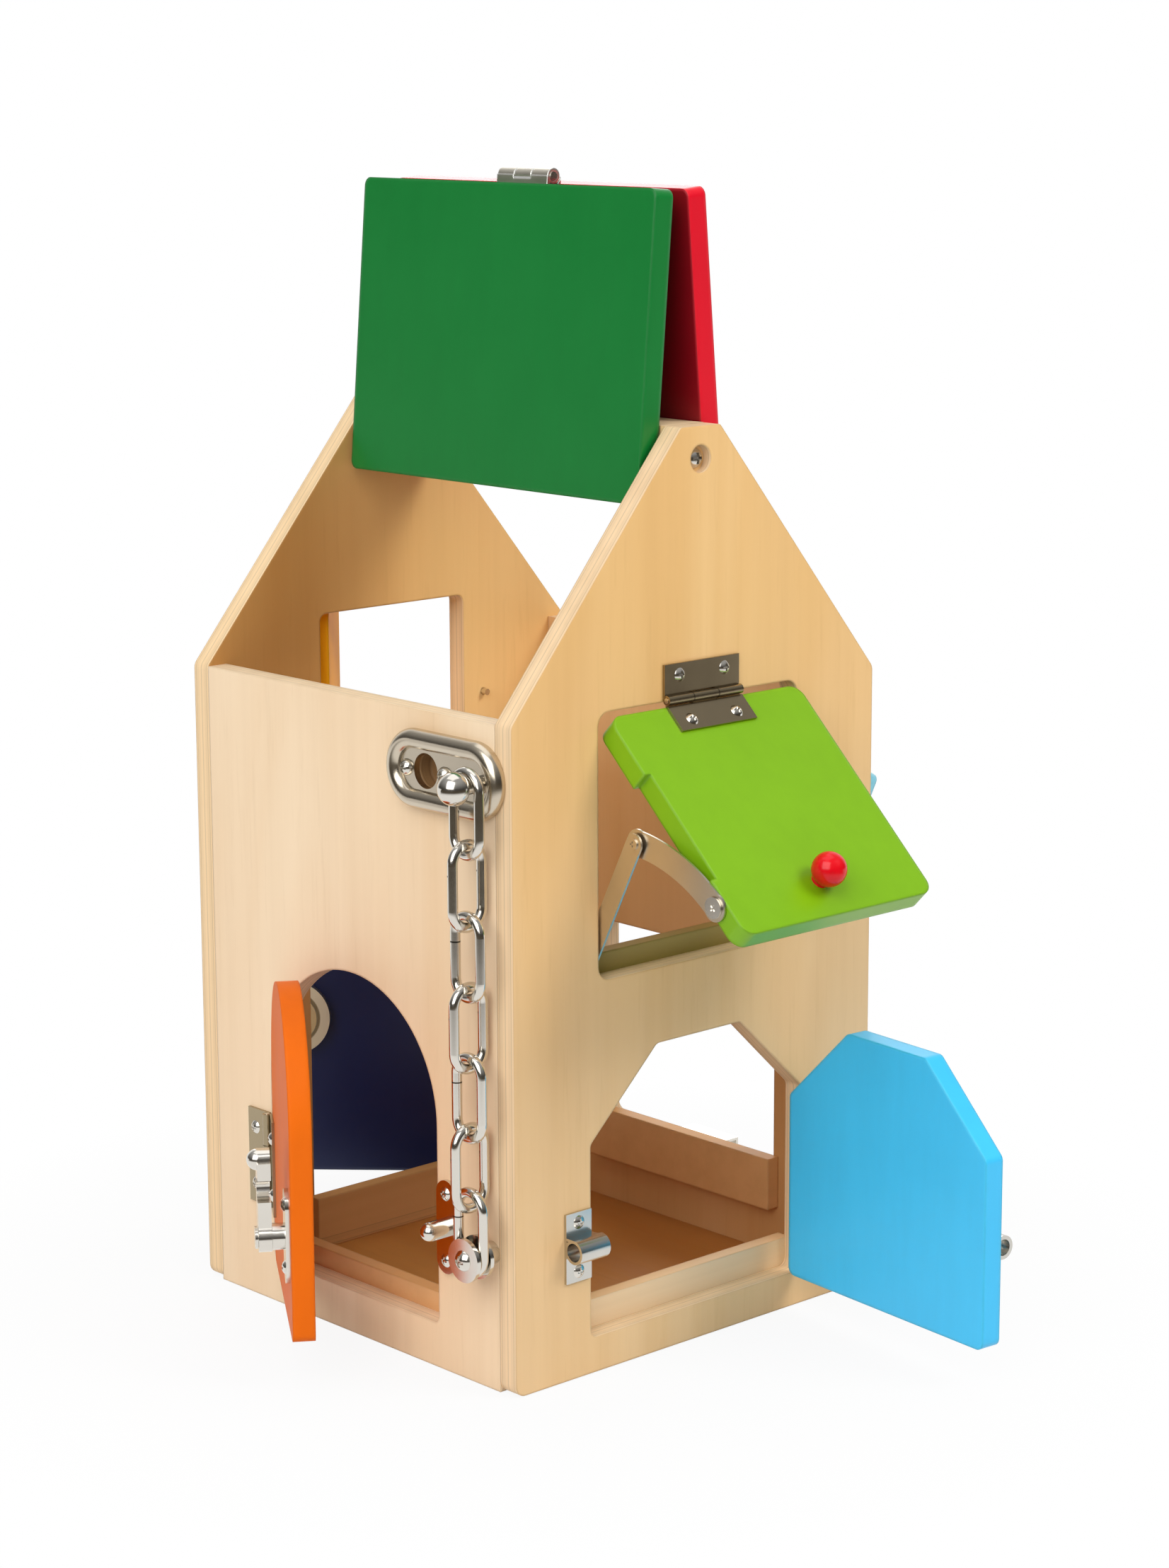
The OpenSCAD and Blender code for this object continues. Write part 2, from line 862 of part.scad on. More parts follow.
// Flat-headed screw that a link turns on; grip is the room for the link
module stay_screw(grip, shoulder, flat_d) {
    translate([0, 0, -screw_len])
        cylinder(d = screw_d, h = screw_len + shoulder + grip + eps);
    if (shoulder > 0)
        cylinder(d = 2 * screw_d, h = shoulder);
    translate([0, 0, shoulder + grip])
        difference() {
            cylinder(d = flat_d, h = stay_head_h);
            translate([0, 0, stay_head_h / 2])
                linear_extrude(stay_head_h)
                    cross_outline(2 * screw_d);
        }
}

// What is drawn in a link's plane, from x0 across the gap over a thickness t, at pivot p
module in_stay_plane(p, angle, x0, t) {
    translate([reveal_x + x0, p[0], p[1]])
        rotate([90, 0, 90])
            rotate([0, 0, angle])
                linear_extrude(t)
                    children();
}

module hatch_panel() {
    notch_z = hatch_top - hatch_gap;
    color(lime)
        hung(HATCH)
            difference() {
                front_plate(-half, door_t)
                    hatch_outline(stay_gap, door_gap, hatch_gap);
                translate([hatch_edge_x - past, -half - past, notch_z - notch_to])
                    cube([notch_in + past, door_t + 2 * past, notch_to - notch_from]);
                door_leaf_holes(HATCH);
                stay_tip_place()
                    screw_hole();
                on_front([0, knob_z])
                    knob_screw_hole();
            }
}

module hatch_hinge_leaf() {
    door_leaf(HATCH);
}

knob_z = hatch_sill + hatch_gap + knob_from_edge;

module knob_screw_hole() {
    translate([0, 0, -screw_len - seat_gap])
        cylinder(d = screw_d + 2 * pilot_fit, h = screw_len + past);
}

// Ball on a short neck with a screwed stem
module hatch_knob() {
    color(red)
        hung(HATCH)
            on_front([0, knob_z]) {
                translate([0, 0, knob_lift])
                    sphere(d = knob_d);
                cylinder(d = knob_d / 2, h = knob_lift);
                translate([0, 0, -screw_len])
                    cylinder(d = screw_d, h = screw_len + past);
            }
}

module hatch_screws() {
    color(nickel) {
        door_leaf_screws(HATCH);
        hung(HATCH)
            stay_tip_place()
                stay_screw(stay_t + 3 * seat_gap, 0, 3 * screw_d);
    }
}

module stay_lower_link() {
    angle = atan2(stay_knee[1] - stay_foot[1], stay_knee[0] - stay_foot[0]);
    color(nickel) {
        in_stay_plane(stay_foot, angle, lower_from, stay_t)
            difference() {
                union() {
                    translate([0, -stay_w / 2])
                        square([stay_a, stay_w]);
                    for (x = [0, stay_a])
                        translate([x, 0])
                            circle(d = stay_w);
                }
                circle(d = screw_d + 2 * run_fit);
            }
        difference() {
            in_stay_plane(stay_knee, 0, lower_from - rivet_head, rivet_head + eps)
                circle(d = knee_d);
            in_stay_plane(stay_knee, 0, lower_from - 2 * rivet_head, 1.5 * rivet_head)
                cross_outline(knee_d);
        }
        in_stay_plane(stay_knee, 0, lower_from + stay_t - eps, upper_to + seat_gap - lower_from - stay_t)
            circle(d = screw_d);
        in_stay_plane(stay_knee, 0, upper_to + seat_gap - 2 * eps, rivet_head)
            circle(d = 1.8 * screw_d);
    }
}

// Curved strap from the knee to the hatch; its tip hole is wide enough for the slack
module stay_upper_link() {
    angle = atan2(stay_tip[1] - stay_knee[1], stay_tip[0] - stay_knee[0]);
    bow_r = (stay_b * stay_b / 4 + stay_bow * stay_bow) / (2 * stay_bow);
    bow_a = 2 * asin(stay_b / 2 / bow_r);
    tip_d = screw_d + 2 * stay_slack;
    color(nickel)
        translate([reveal_x + upper_from, stay_knee[0], stay_knee[1]])
            rotate([90, 0, 90])
                rotate([0, 0, angle])
                    difference() {
                        union() {
                            translate([stay_b / 2, bow_r - stay_bow, 0])
                                rotate([0, 0, 270 - bow_a / 2])
                                    rotate_extrude(angle = bow_a)
                                        translate([bow_r - strap_w / 2, 0])
                                            square([strap_w, stay_t]);
                            cylinder(d = strap_w + tab_over, h = stay_t);
                            translate([stay_b, 0, 0])
                                cylinder(d = strap_w + tab_over, h = stay_t);
                        }
                        translate([0, 0, -past])
                            cylinder(d = screw_d + 2 * run_fit, h = stay_t + 2 * past);
                        translate([stay_b, 0, -past])
                            cylinder(d = tip_d, h = stay_t + 2 * past);
                    }
}

// Front door with its barrel bolt
door_free_x = -front_w / 2 + door_gap;
bolt_x = door_free_x + bolt_edge;
keeper_x = -front_w / 2 - keeper_w / 2 - edge_gap;
keeper_left = keeper_x - keeper_w / 2;
keeper_end = door_free_x - clear_gap;

module front_door_panel() {
    color(sky)
        hung(FRONT)
            difference() {
                front_plate(-half, door_t)
                    front_outline(door_gap);
                door_leaf_holes(FRONT);
                bolt_places()
                    screw_hole();
            }
}

module front_door_hinge_leaf() {
    door_leaf(FRONT);
}

module front_door_screws() {
    color(nickel) {
        door_leaf_screws(FRONT);
        hung(FRONT)
            bolt_places()
                wood_screw(leaf_t);
    }
}

// Screw places of the bolt's and the keeper's plates
module bolt_places() {
    inset = head_d / 2 + head_rim;
    for (x = [bolt_x + inset, bolt_x + bolt_l - inset], z = [-1, 1] * (bolt_h / 2 - inset))
        on_front([x, bolt_z + z])
            children();
}

module bolt_keeper_places() {
    for (z = [-1, 1] * (bolt_h / 2 - head_d / 2 - head_rim))
        on_front([keeper_x, bolt_z + z])
            children();
}

// Tube along X over the wood, on a foot down to its plate
module bolt_tube(x0, l, bore_d) {
    foot_w = 0.7 * tube_d;
    translate([x0, -half - bolt_off, bolt_z])
        rotate([0, 90, 0])
            difference() {
                union() {
                    cylinder(d = tube_d, h = l);
                    translate([-foot_w / 2, 0, 0])
                        cube([foot_w, bolt_off - leaf_t / 2, l]);
                }
                translate([0, 0, -past])
                    cylinder(d = bore_d, h = l + 2 * past);
            }
}

module bolt_barrel() {
    color(nickel)
        hung(FRONT)
            difference() {
                union() {
                    translate([bolt_x, -half - leaf_t, bolt_z - bolt_h / 2])
                        cube([bolt_l, leaf_t, bolt_h]);
                    for (x = [bolt_x, bolt_x + bolt_l - tube_l])
                        bolt_tube(x, tube_l, rod_d + 2 * run_fit);
                }
                bolt_places()
                    screw_hole();
            }
}

// Rod with a knob that runs between the two tubes
module bolt_rod() {
    knob_x = bolt_x + bolt_l - tube_l - rod_d / 2;
    stem_d = 0.7 * rod_d;
    stem_l = 1.6 * rod_d;
    ball_d = 1.1 * rod_d;
    rod_over = 2;
    color(nickel)
        hung(FRONT)
            translate([0, -half - bolt_off, bolt_z]) {
                translate([bolt_x + rod_in, 0, 0])
                    rotate([0, 90, 0])
                        cylinder(d = rod_d, h = bolt_l + rod_over - rod_in);
                translate([knob_x, 0, 0])
                    rotate([90, 0, 0]) {
                        cylinder(d = stem_d, h = stem_l);
                        translate([0, 0, stem_l])
                            sphere(d = ball_d);
                    }
            }
}

module bolt_keeper() {
    color(nickel)
        difference() {
            union() {
                translate([keeper_left, -half - leaf_t, bolt_z - bolt_h / 2])
                    cube([keeper_w, leaf_t, bolt_h]);
                bolt_tube(keeper_left, keeper_end - keeper_left, rod_d + 2 * keeper_fit);
                translate([keeper_left, -half - bolt_off, bolt_z + tube_d / 2 - leaf_t])
                    cube([keeper_w, bolt_off, leaf_t]);
            }
            bolt_keeper_places()
                screw_hole();
        }
}

// Arched door with its swinging hook
hook_plate_t = 1.5;
nose_y = -arch_w / 2 - nose_plate_w / 2 - 2 * edge_gap;
hook_y = nose_y + hook_reach;

module arch_door_panel() {
    color(orange)
        hung(ARCH)
            difference() {
                side_plate(-half, door_t)
                    arch_outline(door_gap);
                door_leaf_holes(ARCH);
                hook_base_places()
                    screw_hole();
            }
}

module arch_door_hinge_leaf() {
    door_leaf(ARCH);
}

module arch_door_screws() {
    color(nickel) {
        door_leaf_screws(ARCH);
        hung(ARCH)
            hook_base_places()
                wood_screw(hook_plate_t);
    }
}

module hook_base_places() {
    for (z = [-1, 1] * (hook_plate_l - hook_plate_w + 2 * edge_gap) / 2)
        on_left([hook_y, hook_z + z])
            children();
}

module hook_keeper_places() {
    for (z = [-1, 1] * (hook_plate_l - nose_plate_w) / 2)
        on_left([nose_y, hook_z + z])
            children();
}

// Oblong plate, upright, on a left-hand face at p
module upright_plate(p, w) {
    on_left(p)
        rotate([0, 0, 90])
            linear_extrude(hook_plate_t)
                oblong(hook_plate_l, w);
}

hook_stub_d = 5;
hook_boss_d = 9;
hook_cap_d = 7.5;
hook_stub_end = hook_off + hook_t + seat_gap;
hook_front = 3;
hook_back = nose_d / 2 + hook_fit + hook_front;

// Plate on the door with the stub that the hook turns on
module hook_base() {
    color(nickel)
        hung(ARCH)
            difference() {
                union() {
                    upright_plate([hook_y, hook_z], hook_plate_w);
                    on_left([hook_y, hook_z]) {
                        cylinder(d = hook_boss_d, h = hook_off - seat_gap);
                        cylinder(d = hook_stub_d, h = hook_stub_end + eps);
                        translate([0, 0, hook_stub_end])
                            cylinder(d = hook_cap_d, h = leaf_t);
                    }
                }
                hook_base_places()
                    screw_hole();
            }
}

// Hook that points up when loose and drops over the nose, with a rounded thumb end.
// In its own plane X runs along the hook and +Y is its back.
module hook_outline() {
    bight = nose_d / 2 + hook_fit;
    difference() {
        union() {
            circle(d = 2 * hook_stub_d);
            translate([0, -hook_front])
                square([hook_l - thumb_d / 2, hook_back + hook_front]);
        }
        circle(d = hook_stub_d + 2 * run_fit);
        translate([hook_reach, 0])
            circle(r = bight);
        translate([hook_reach - bight, -hook_stub_d])
            square([2 * bight, hook_stub_d]);
    }
}

module hook_lever() {
    color(nickel)
        hung(ARCH)
            on_left([hook_y, hook_z])
                translate([0, 0, hook_off]) {
                    linear_extrude(hook_t)
                        hook_outline();
                    translate([hook_l - thumb_d / 2, hook_back - thumb_d / 2, 0])
                        bullet(thumb_d, hook_t + thumb_l);
                }
}

// Round bar along Z with a rounded end, l long over all
module bullet(d, l) {
    cylinder(d = d, h = l - d / 2);
    translate([0, 0, l - d / 2])
        sphere(d = d);
}

// Keeper on the wall: oblong plate with a round-ended nose
module hook_keeper() {
    color(nickel)
        difference() {
            union() {
                upright_plate([nose_y, hook_z], nose_plate_w);
                on_left([nose_y, hook_z])
                    bullet(nose_d, nose_l);
            }
            hook_keeper_places()
                screw_hole();
        }
}

// Back door with its cam lock
lock_x = -back_w / 2 + door_gap + lock_edge;
flange_t = 2.5;
plug_out = 0.5;
barrel_over = 0.6;
plug_front = flange_t + plug_out;
barrel_back = door_t + nut_t + barrel_over;
key_w = 1.2;
key_h = 7;
key_deep = 2;
cam_rim = 1.5;

module back_door_panel() {
    color(navy)
        hung(BACK)
            difference() {
                front_plate(half - door_t, door_t)
                    back_outline(door_gap);
                door_leaf_holes(BACK);
                on_back([lock_x, lock_z])
                    translate([0, 0, -door_t - past])
                        cylinder(d = lock_d + 2 * pilot_fit, h = door_t + 2 * past);
            }
}

module back_door_hinge_leaf() {
    door_leaf(BACK);
}

module back_door_screws() {
    color(nickel)
        door_leaf_screws(BACK);
}

module lock_body() {
    color(nickel)
        hung(BACK)
            on_back([lock_x, lock_z])
                difference() {
                    union() {
                        cylinder(d = flange_d, h = flange_t);
                        translate([0, 0, -barrel_back])
                            cylinder(d = lock_d, h = barrel_back + eps);
                    }
                    translate([0, 0, -barrel_back - past])
                        cylinder(d = plug_d + 2 * run_fit, h = barrel_back + flange_t + 2 * past);
                }
}

module lock_nut() {
    color(nickel)
        hung(BACK)
            on_back([lock_x, lock_z])
                translate([0, 0, -door_t - nut_t])
                    difference() {
                        cylinder(d = nut_d, h = nut_t);
                        translate([0, 0, -past])
                            cylinder(d = lock_d + 2 * pilot_fit, h = nut_t + 2 * past);
                    }
}

// Plug with a key slot, and the cam on its inner end pointing up
module lock_cam() {
    cam_z = -barrel_back - seat_gap - cam_t;
    color(nickel)
        hung(BACK)
            on_back([lock_x, lock_z]) {
                difference() {
                    translate([0, 0, cam_z + eps])
                        cylinder(d = plug_d, h = plug_front - cam_z);
                    translate([-key_w / 2, -key_h / 2, plug_front - key_deep])
                        cube([key_w, key_h, key_deep + past]);
                }
                translate([0, 0, cam_z])
                    linear_extrude(cam_t) {
                        circle(d = plug_d + 2 * cam_rim);
                        translate([-cam_w / 2, -cam_l + cam_w / 2])
                            square([cam_w, cam_l - cam_w / 2]);
                        translate([0, -cam_l + cam_w / 2])
                            circle(d = cam_w);
                    }
            }
}

// Window door and the turn button on the gable
button_place = [window_w / 2 + button_edge, window_sill + window_h / 2];

module window_door_panel() {
    color(amber)
        hung(WINDOW)
            difference() {
                front_plate(half - door_t, door_t)
                    window_outline(door_gap);
                door_leaf_holes(WINDOW);
            }
}

module window_door_hinge_leaf() {
    door_leaf(WINDOW);
}

module window_door_screws() {
    color(nickel)
        door_leaf_screws(WINDOW);
}

module turn_button() {
    color(nickel)
        on_back(button_place)
            translate([0, 0, clear_gap])
                difference() {
                    linear_extrude(button_t)
                        oblong(button_l, button_w);
                    translate([0, 0, -past])
                        cylinder(d = screw_d + 2 * run_fit, h = button_t + 2 * past);
                }
}

// Long screw through the button and the gable
module button_screw() {
    seat = clear_gap + button_t + seat_gap;
    cap_d = 1.5 * head_d;
    translate([0, 0, -ply_t - button_tip])
        cylinder(d = screw_d, h = ply_t + button_tip + seat + eps);
    translate([0, 0, seat])
        cylinder(d = cap_d, h = head_h);
}

// Flap with its toggle latch, drawn latched-side up with the lever standing straight out
latch_z = flap_sill + door_gap + latch_up;
latch_x = half + latch_off;
ear_t = 2;
ear_r = 3.5;
base_h = 19;
base_below = 1;
base_screw_up = 11;
base_pitch = 8.8;
catch_pitch = 12;
catch_screw_up = 5;
catch_lip = 6;
lever_t = 2;
lever_hub = 1.2;
lever_end_d = 3;
bail_side = 0.8;
bail_under = 1;
bail_half = catch_w / 2 + bail_d / 2 + bail_side;
bail_x = latch_x + bail_crank;
bail_bend = 3;
catch_top = flap_sill - edge_gap;
bail_reach = latch_z + bail_crank - (catch_top - leaf_t - bail_d / 2 - bail_under);

module flap_panel() {
    color(cyan)
        hung(FLAP)
            difference() {
                side_plate(half - door_t, door_t)
                    flap_outline(door_gap);
                door_leaf_holes(FLAP);
                latch_places()
                    screw_hole();
            }
}

module flap_hinge_leaf() {
    door_leaf(FLAP);
}

module flap_screws() {
    color(nickel) {
        door_leaf_screws(FLAP);
        hung(FLAP)
            latch_places()
                wood_screw(leaf_t);
    }
}

module latch_places() {
    for (y = [-1, 1] * base_pitch / 2)
        on_right([y, latch_z + base_screw_up])
            children();
}

module catch_places() {
    for (y = [-1, 1] * catch_pitch / 2)
        on_right([y, catch_top - catch_h + catch_screw_up])
            children();
}

// Base plate with two ears and the lever's pin
module latch_base() {
    plate_z = latch_z - ear_r - base_below;
    color(nickel)
        hung(FLAP)
            difference() {
                union() {
                    translate([half, -latch_w / 2, plate_z])
                        cube([leaf_t, latch_w, base_h]);
                    for (y = [-latch_w / 2, latch_w / 2 - ear_t])
                        translate([0, y, 0]) {
                            translate([half, 0, latch_z - ear_r])
                                cube([latch_off, ear_t, 2 * ear_r]);
                            translate([latch_x, 0, latch_z])
                                rotate([-90, 0, 0])
                                    cylinder(r = ear_r, h = ear_t);
                        }
                    translate([latch_x, -latch_w / 2, latch_z])
                        rotate([-90, 0, 0])
                            cylinder(d = bail_d, h = latch_w);
                }
                latch_places()
                    screw_hole();
            }
}

// Lever, pointing straight out, with the stubs that the bail turns on
module latch_lever() {
    arm_w = latch_w - 2 * ear_t - 2 * clear_gap;
    stub = 2 * bail_half + bail_d;
    color(nickel)
        hung(FLAP)
            difference() {
                union() {
                    translate([latch_x, -arm_w / 2, latch_z])
                        rotate([-90, 0, 0])
                            cylinder(d = bail_d + 2 * lever_hub, h = arm_w);
                    translate([latch_x, -arm_w / 2, latch_z - lever_t / 2])
                        cube([lever_l - lever_end_d, arm_w, lever_t]);
                    translate([latch_x + lever_l - lever_end_d, -arm_w / 2, latch_z])
                        rotate([-90, 0, 0])
                            cylinder(d = lever_end_d, h = arm_w);
                    translate([bail_x, -stub / 2, latch_z])
                        rotate([-90, 0, 0])
                            cylinder(d = bail_d, h = stub);
                }
                translate([latch_x, -latch_w, latch_z])
                    rotate([-90, 0, 0])
                        cylinder(d = bail_d + 2 * run_fit, h = 2 * latch_w);
            }
}

// Wire bail hanging from the lever's stubs; each arm ends in an eye
module latch_bail() {
    eye_d = 2 * bail_d + 0.6;
    color(nickel)
        hung(FLAP)
            difference() {
                union() {
                    for (m = [0, 1])
                        mirror([0, m, 0])
                            bail_arm(eye_d);
                    translate([bail_x, bail_bend - bail_half, latch_z - bail_reach])
                        rotate([-90, 0, 0])
                            cylinder(d = bail_d, h = 2 * (bail_half - bail_bend));
                }
                translate([bail_x, -2 * bail_half, latch_z])
                    rotate([-90, 0, 0])
                        cylinder(d = bail_d + 2 * run_fit, h = 4 * bail_half);
            }
}

// One arm with its eye and the bend into the bar
module bail_arm(eye_d) {
    eye_w = 1.2 * bail_d;
    translate([bail_x, bail_half - eye_w / 2, latch_z])
        rotate([-90, 0, 0])
            cylinder(d = eye_d, h = eye_w);
    translate([bail_x, bail_half, latch_z - bail_reach + bail_bend])
        cylinder(d = bail_d, h = bail_reach - bail_bend - bail_d);
    translate([bail_x, bail_half - bail_bend, latch_z - bail_reach + bail_bend])
        rotate([90, 0, 90])
            rotate([0, 0, -90])
                rotate_extrude(angle = 90)
                    translate([bail_bend, 0])
                        circle(d = bail_d);
}

// Folded catch on the wall below the flap: plate, flat top and a lip turned down
module latch_catch() {
    under = -leaf_t;
    lip_x = catch_out - leaf_t;
    color(nickel)
        difference() {
            translate([half, catch_w / 2, catch_top])
                rotate([90, 0, 0])
                    linear_extrude(catch_w)
                        polygon([
                            [0, -catch_h], [leaf_t, -catch_h], [leaf_t, under], [lip_x, under],
                            [lip_x, -catch_lip], [catch_out, -catch_lip], [catch_out, 0], [0, 0]
                        ]);
            catch_places()
                screw_hole();
        }
}

// Door chain: ball stud in a raised plate, six hanging links, and a lowest link held
// between washers
link_n = 7;
plate_floor = 2.4;
plate_rim = 3.4;
plate_head_d = 1.2 * head_d;
plate_head_h = 2 * head_h;
plate_y = -half + plate_in + plate_l / 2;
hole_off = 9;
hole_y = plate_y + hole_off;
hole_pitch = 19.2;
stud_y = -half + chain_in;
stud_gap = 1.2;
spacer_d = 8;
washer_t = 1.5;
washer_gap = 0.4;
link_pitch = (stud_z - anchor_z + neck_d + link_gap + link_slack) / link_n;
link_len = link_pitch + link_gap;
stud_back = chain_off + link_wire / 2 + stud_gap;

// Link number k, counted from the stud; odd links lie flat to the wall
module chain_link(k) {
    fixed = k == link_n;
    z = neck_d / 2 + link_gap - link_len / 2 - (k - 1) * link_pitch + (fixed ? link_slack : 0);
    color(nickel)
        translate([-half - chain_off, stud_y, stud_z + z])
            rotate([0, 0, k % 2 == 1 ? 90 : 0])
                link_ring();
}

// Closed stadium of round wire in the X-Z plane
module link_ring() {
    bend = (link_in + link_wire) / 2;
    straight = link_len - link_in;
    for (s = [-1, 1]) {
        translate([s * bend, 0, -straight / 2])
            cylinder(d = link_wire, h = straight);
        translate([0, 0, s * straight / 2])
            rotate([90, 0, 0])
                rotate([0, 0, s > 0 ? 0 : 180])
                    rotate_extrude(angle = 180)
                        translate([bend, 0])
                            circle(d = link_wire);
    }
}

module chain_link_1() {
    chain_link(1);
}

module chain_link_2() {
    chain_link(2);
}

module chain_link_3() {
    chain_link(3);
}

module chain_link_4() {
    chain_link(4);
}

module chain_link_5() {
    chain_link(5);
}

module chain_link_6() {
    chain_link(6);
}

module chain_link_7() {
    chain_link(7);
}

module chain_plate_places() {
    for (y = [-1, 1] * hole_pitch / 2)
        on_left([hole_y + y, stud_z])
            children();
}

// Oblong plate with a rounded rim and a sunken floor that holds the entry hole and the stud
module chain_plate() {
    run = plate_l - plate_w;
    color(nickel)
        difference() {
            on_left([plate_y, stud_z]) {
                for (s = [-1, 1])
                    translate([0, s * run / 2, 0])
                        rotate([0, 0, s > 0 ? 0 : 180])
                            rotate_extrude(angle = 180)
                                plate_profile();
                translate([0, run / 2, 0])
                    rotate([90, 0, 0])
                        linear_extrude(run)
                            for (m = [0, 1])
                                mirror([m, 0])
                                    plate_profile();
            }
            chain_plate_places()
                screw_hole();
            on_left([hole_y, stud_z])
                translate([0, 0, -past])
                    cylinder(d = plate_hole, h = plate_h + 2 * past);
            on_left([stud_y, stud_z])
                translate([0, 0, -past])
                    cylinder(d = neck_d + 2 * pilot_fit, h = plate_h + 2 * past);
        }
}

// Half of the plate's section: sunken floor inside a round rim
module plate_profile() {
    rim_x = plate_w / 2 - plate_rim;
    square([rim_x, plate_floor]);
    intersection() {
        square(plate_w);
        translate([rim_x, plate_h - plate_rim])
            circle(plate_rim);
    }
}

module chain_stud() {
    color(nickel)
        on_left([stud_y, stud_z]) {
            cylinder(d = neck_d, h = stud_back + 1);
            intersection() {
                translate([0, 0, stud_back])
                    cylinder(d = stud_d + 1, h = stud_d);
                translate([0, 0, stud_back + stud_d / 5])
                    sphere(d = stud_d);
            }
        }
}

// Screw, spacer and two washers that hold the lowest link
module chain_anchor() {
    back = chain_off - link_wire / 2 - washer_gap;
    front = chain_off + link_wire / 2 + washer_gap;
    color(nickel)
        on_left([stud_y, anchor_z]) {
            difference() {
                union() {
                    cylinder(d = spacer_d, h = back - washer_t);
                    translate([0, 0, back - washer_t])
                        cylinder(d = washer_d, h = washer_t);
                    cylinder(d = neck_d, h = front);
                    translate([0, 0, front])
                        cylinder(d = washer_d, h = washer_t);
                }
                translate([0, 0, -past])
                    cylinder(d = screw_d + 2 * pilot_fit, h = front + washer_t + 2 * past);
            }
            wood_screw(front + washer_t, 1.5 * head_d, 1.8 * head_h);
        }
}

// Roof: two boards hinged together along the ridge. A board's own frame has its hinge axis
// along Y at the origin, +X out of the board's top and -Z down the board.
roof_z = ridge_h + roof_lift;
roof_leaf_gap = 0.25;
roof_in = roof_barrel / 2 + roof_leaf_gap;
roof_top_gap = 3;
roof_screw_pitch = 0.625 * roof_hinge_l;
roof_screw_down = 0.66 * roof_leaf;
roof_head_h = 0.9;

module at_roof(side) {
    translate([0, 0, roof_z])
        mirror([side > 0 ? 0 : 1, 0, 0])
            rotate([0, -roof_lean, 0])
                children();
}

module roof_screw_places() {
    for (y = [-1, 1] * roof_screw_pitch / 2)
        translate([roof_in - roof_leaf_t, y, -roof_screw_down])
            rotate([0, 90, 0])
                children();
}

// Screw with its head sunk flush in the leaf
module roof_screw() {
    cylinder(d = head_d, h = roof_head_h);
    cylinder(d = screw_d, h = roof_leaf_t + screw_len);
}

module roof_screw_hole() {
    translate([0, 0, -past])
        cylinder(d = head_d + 2 * pilot_fit, h = roof_head_h + past + pilot_fit);
    cylinder(d = screw_d + 2 * pilot_fit, h = roof_leaf_t + screw_len + seat_gap);
}

module roof_board() {
    w = 2 * (inner - roof_gap);
    difference() {
        side_plate(roof_in, roof_t)
            translate([0, -roof_top_gap - roof_l])
                round_rect(w, roof_l, roof_r);
        roof_screw_places()
            roof_screw_hole();
    }
}

module roof_left_panel() {
    color(green)
        at_roof(-1)
            roof_board();
}

module roof_right_panel() {
    color(red)
        at_roof(1)
            roof_board();
}

// Half of the roof hinge with its two screws; side 1 has the middle knuckle
module roof_hinge_half(side) {
    third = roof_hinge_l / 3;
    own = side > 0 ? [0] : [-1, 1];
    other = side > 0 ? [-1, 1] : [0];
    difference() {
        union() {
            translate([roof_in - roof_leaf_t, -roof_hinge_l / 2, -roof_leaf])
                cube([roof_leaf_t, roof_hinge_l, roof_leaf]);
            for (k = own)
                translate([0, k * third, 0])
                    rotate([90, 0, 0])
                        cylinder(d = roof_barrel, h = third - knuckle_gap, center = true);
        }
        for (k = other)
            translate([0, k * third, 0])
                rotate([90, 0, 0])
                    cylinder(d = roof_barrel + 2 * knuckle_gap, h = third + knuckle_gap, center = true);
        rotate([90, 0, 0])
            cylinder(d = roof_pin_d + 2 * run_fit, h = roof_hinge_l + 2 * past, center = true);
        roof_screw_places()
            roof_screw_hole();
    }
    roof_screw_places()
        roof_screw();
}

module roof_left_hinge() {
    color(nickel)
        at_roof(-1)
            roof_hinge_half(-1);
}

module roof_right_hinge() {
    color(nickel)
        at_roof(1)
            roof_hinge_half(1);
}

module roof_hinge_pin() {
    color(nickel)
        translate([0, 0, roof_z])
            rotate([90, 0, 0])
                cylinder(d = roof_pin_d, h = roof_hinge_l, center = true);
}

front_gable();
back_gable();
left_wall();
right_wall();
floor_panel();
ridge_beam();
stop_strips();
frame_hinge_leaves();
frame_hinge_pins();
house_screws();
bolt_keeper();
hook_keeper();
latch_catch();
chain_plate();
chain_stud();
chain_anchor();
hatch_panel();
hatch_hinge_leaf();
hatch_knob();
hatch_screws();
stay_lower_link();
stay_upper_link();
front_door_panel();
front_door_hinge_leaf();
front_door_screws();
bolt_barrel();
bolt_rod();
arch_door_panel();
arch_door_hinge_leaf();
arch_door_screws();
hook_base();
hook_lever();
back_door_panel();
back_door_hinge_leaf();
back_door_screws();
lock_body();
lock_nut();
lock_cam();
window_door_panel();
window_door_hinge_leaf();
window_door_screws();
turn_button();
flap_panel();
flap_hinge_leaf();
flap_screws();
latch_base();
latch_lever();
latch_bail();
roof_left_panel();
roof_right_panel();
roof_left_hinge();
roof_right_hinge();
roof_hinge_pin();
chain_link_1();
chain_link_2();
chain_link_3();
chain_link_4();
chain_link_5();
chain_link_6();
chain_link_7();
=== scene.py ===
"""Wooden lock house: finishes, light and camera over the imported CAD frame, in metres."""
import math

import bpy
from mathutils import Matrix, Vector


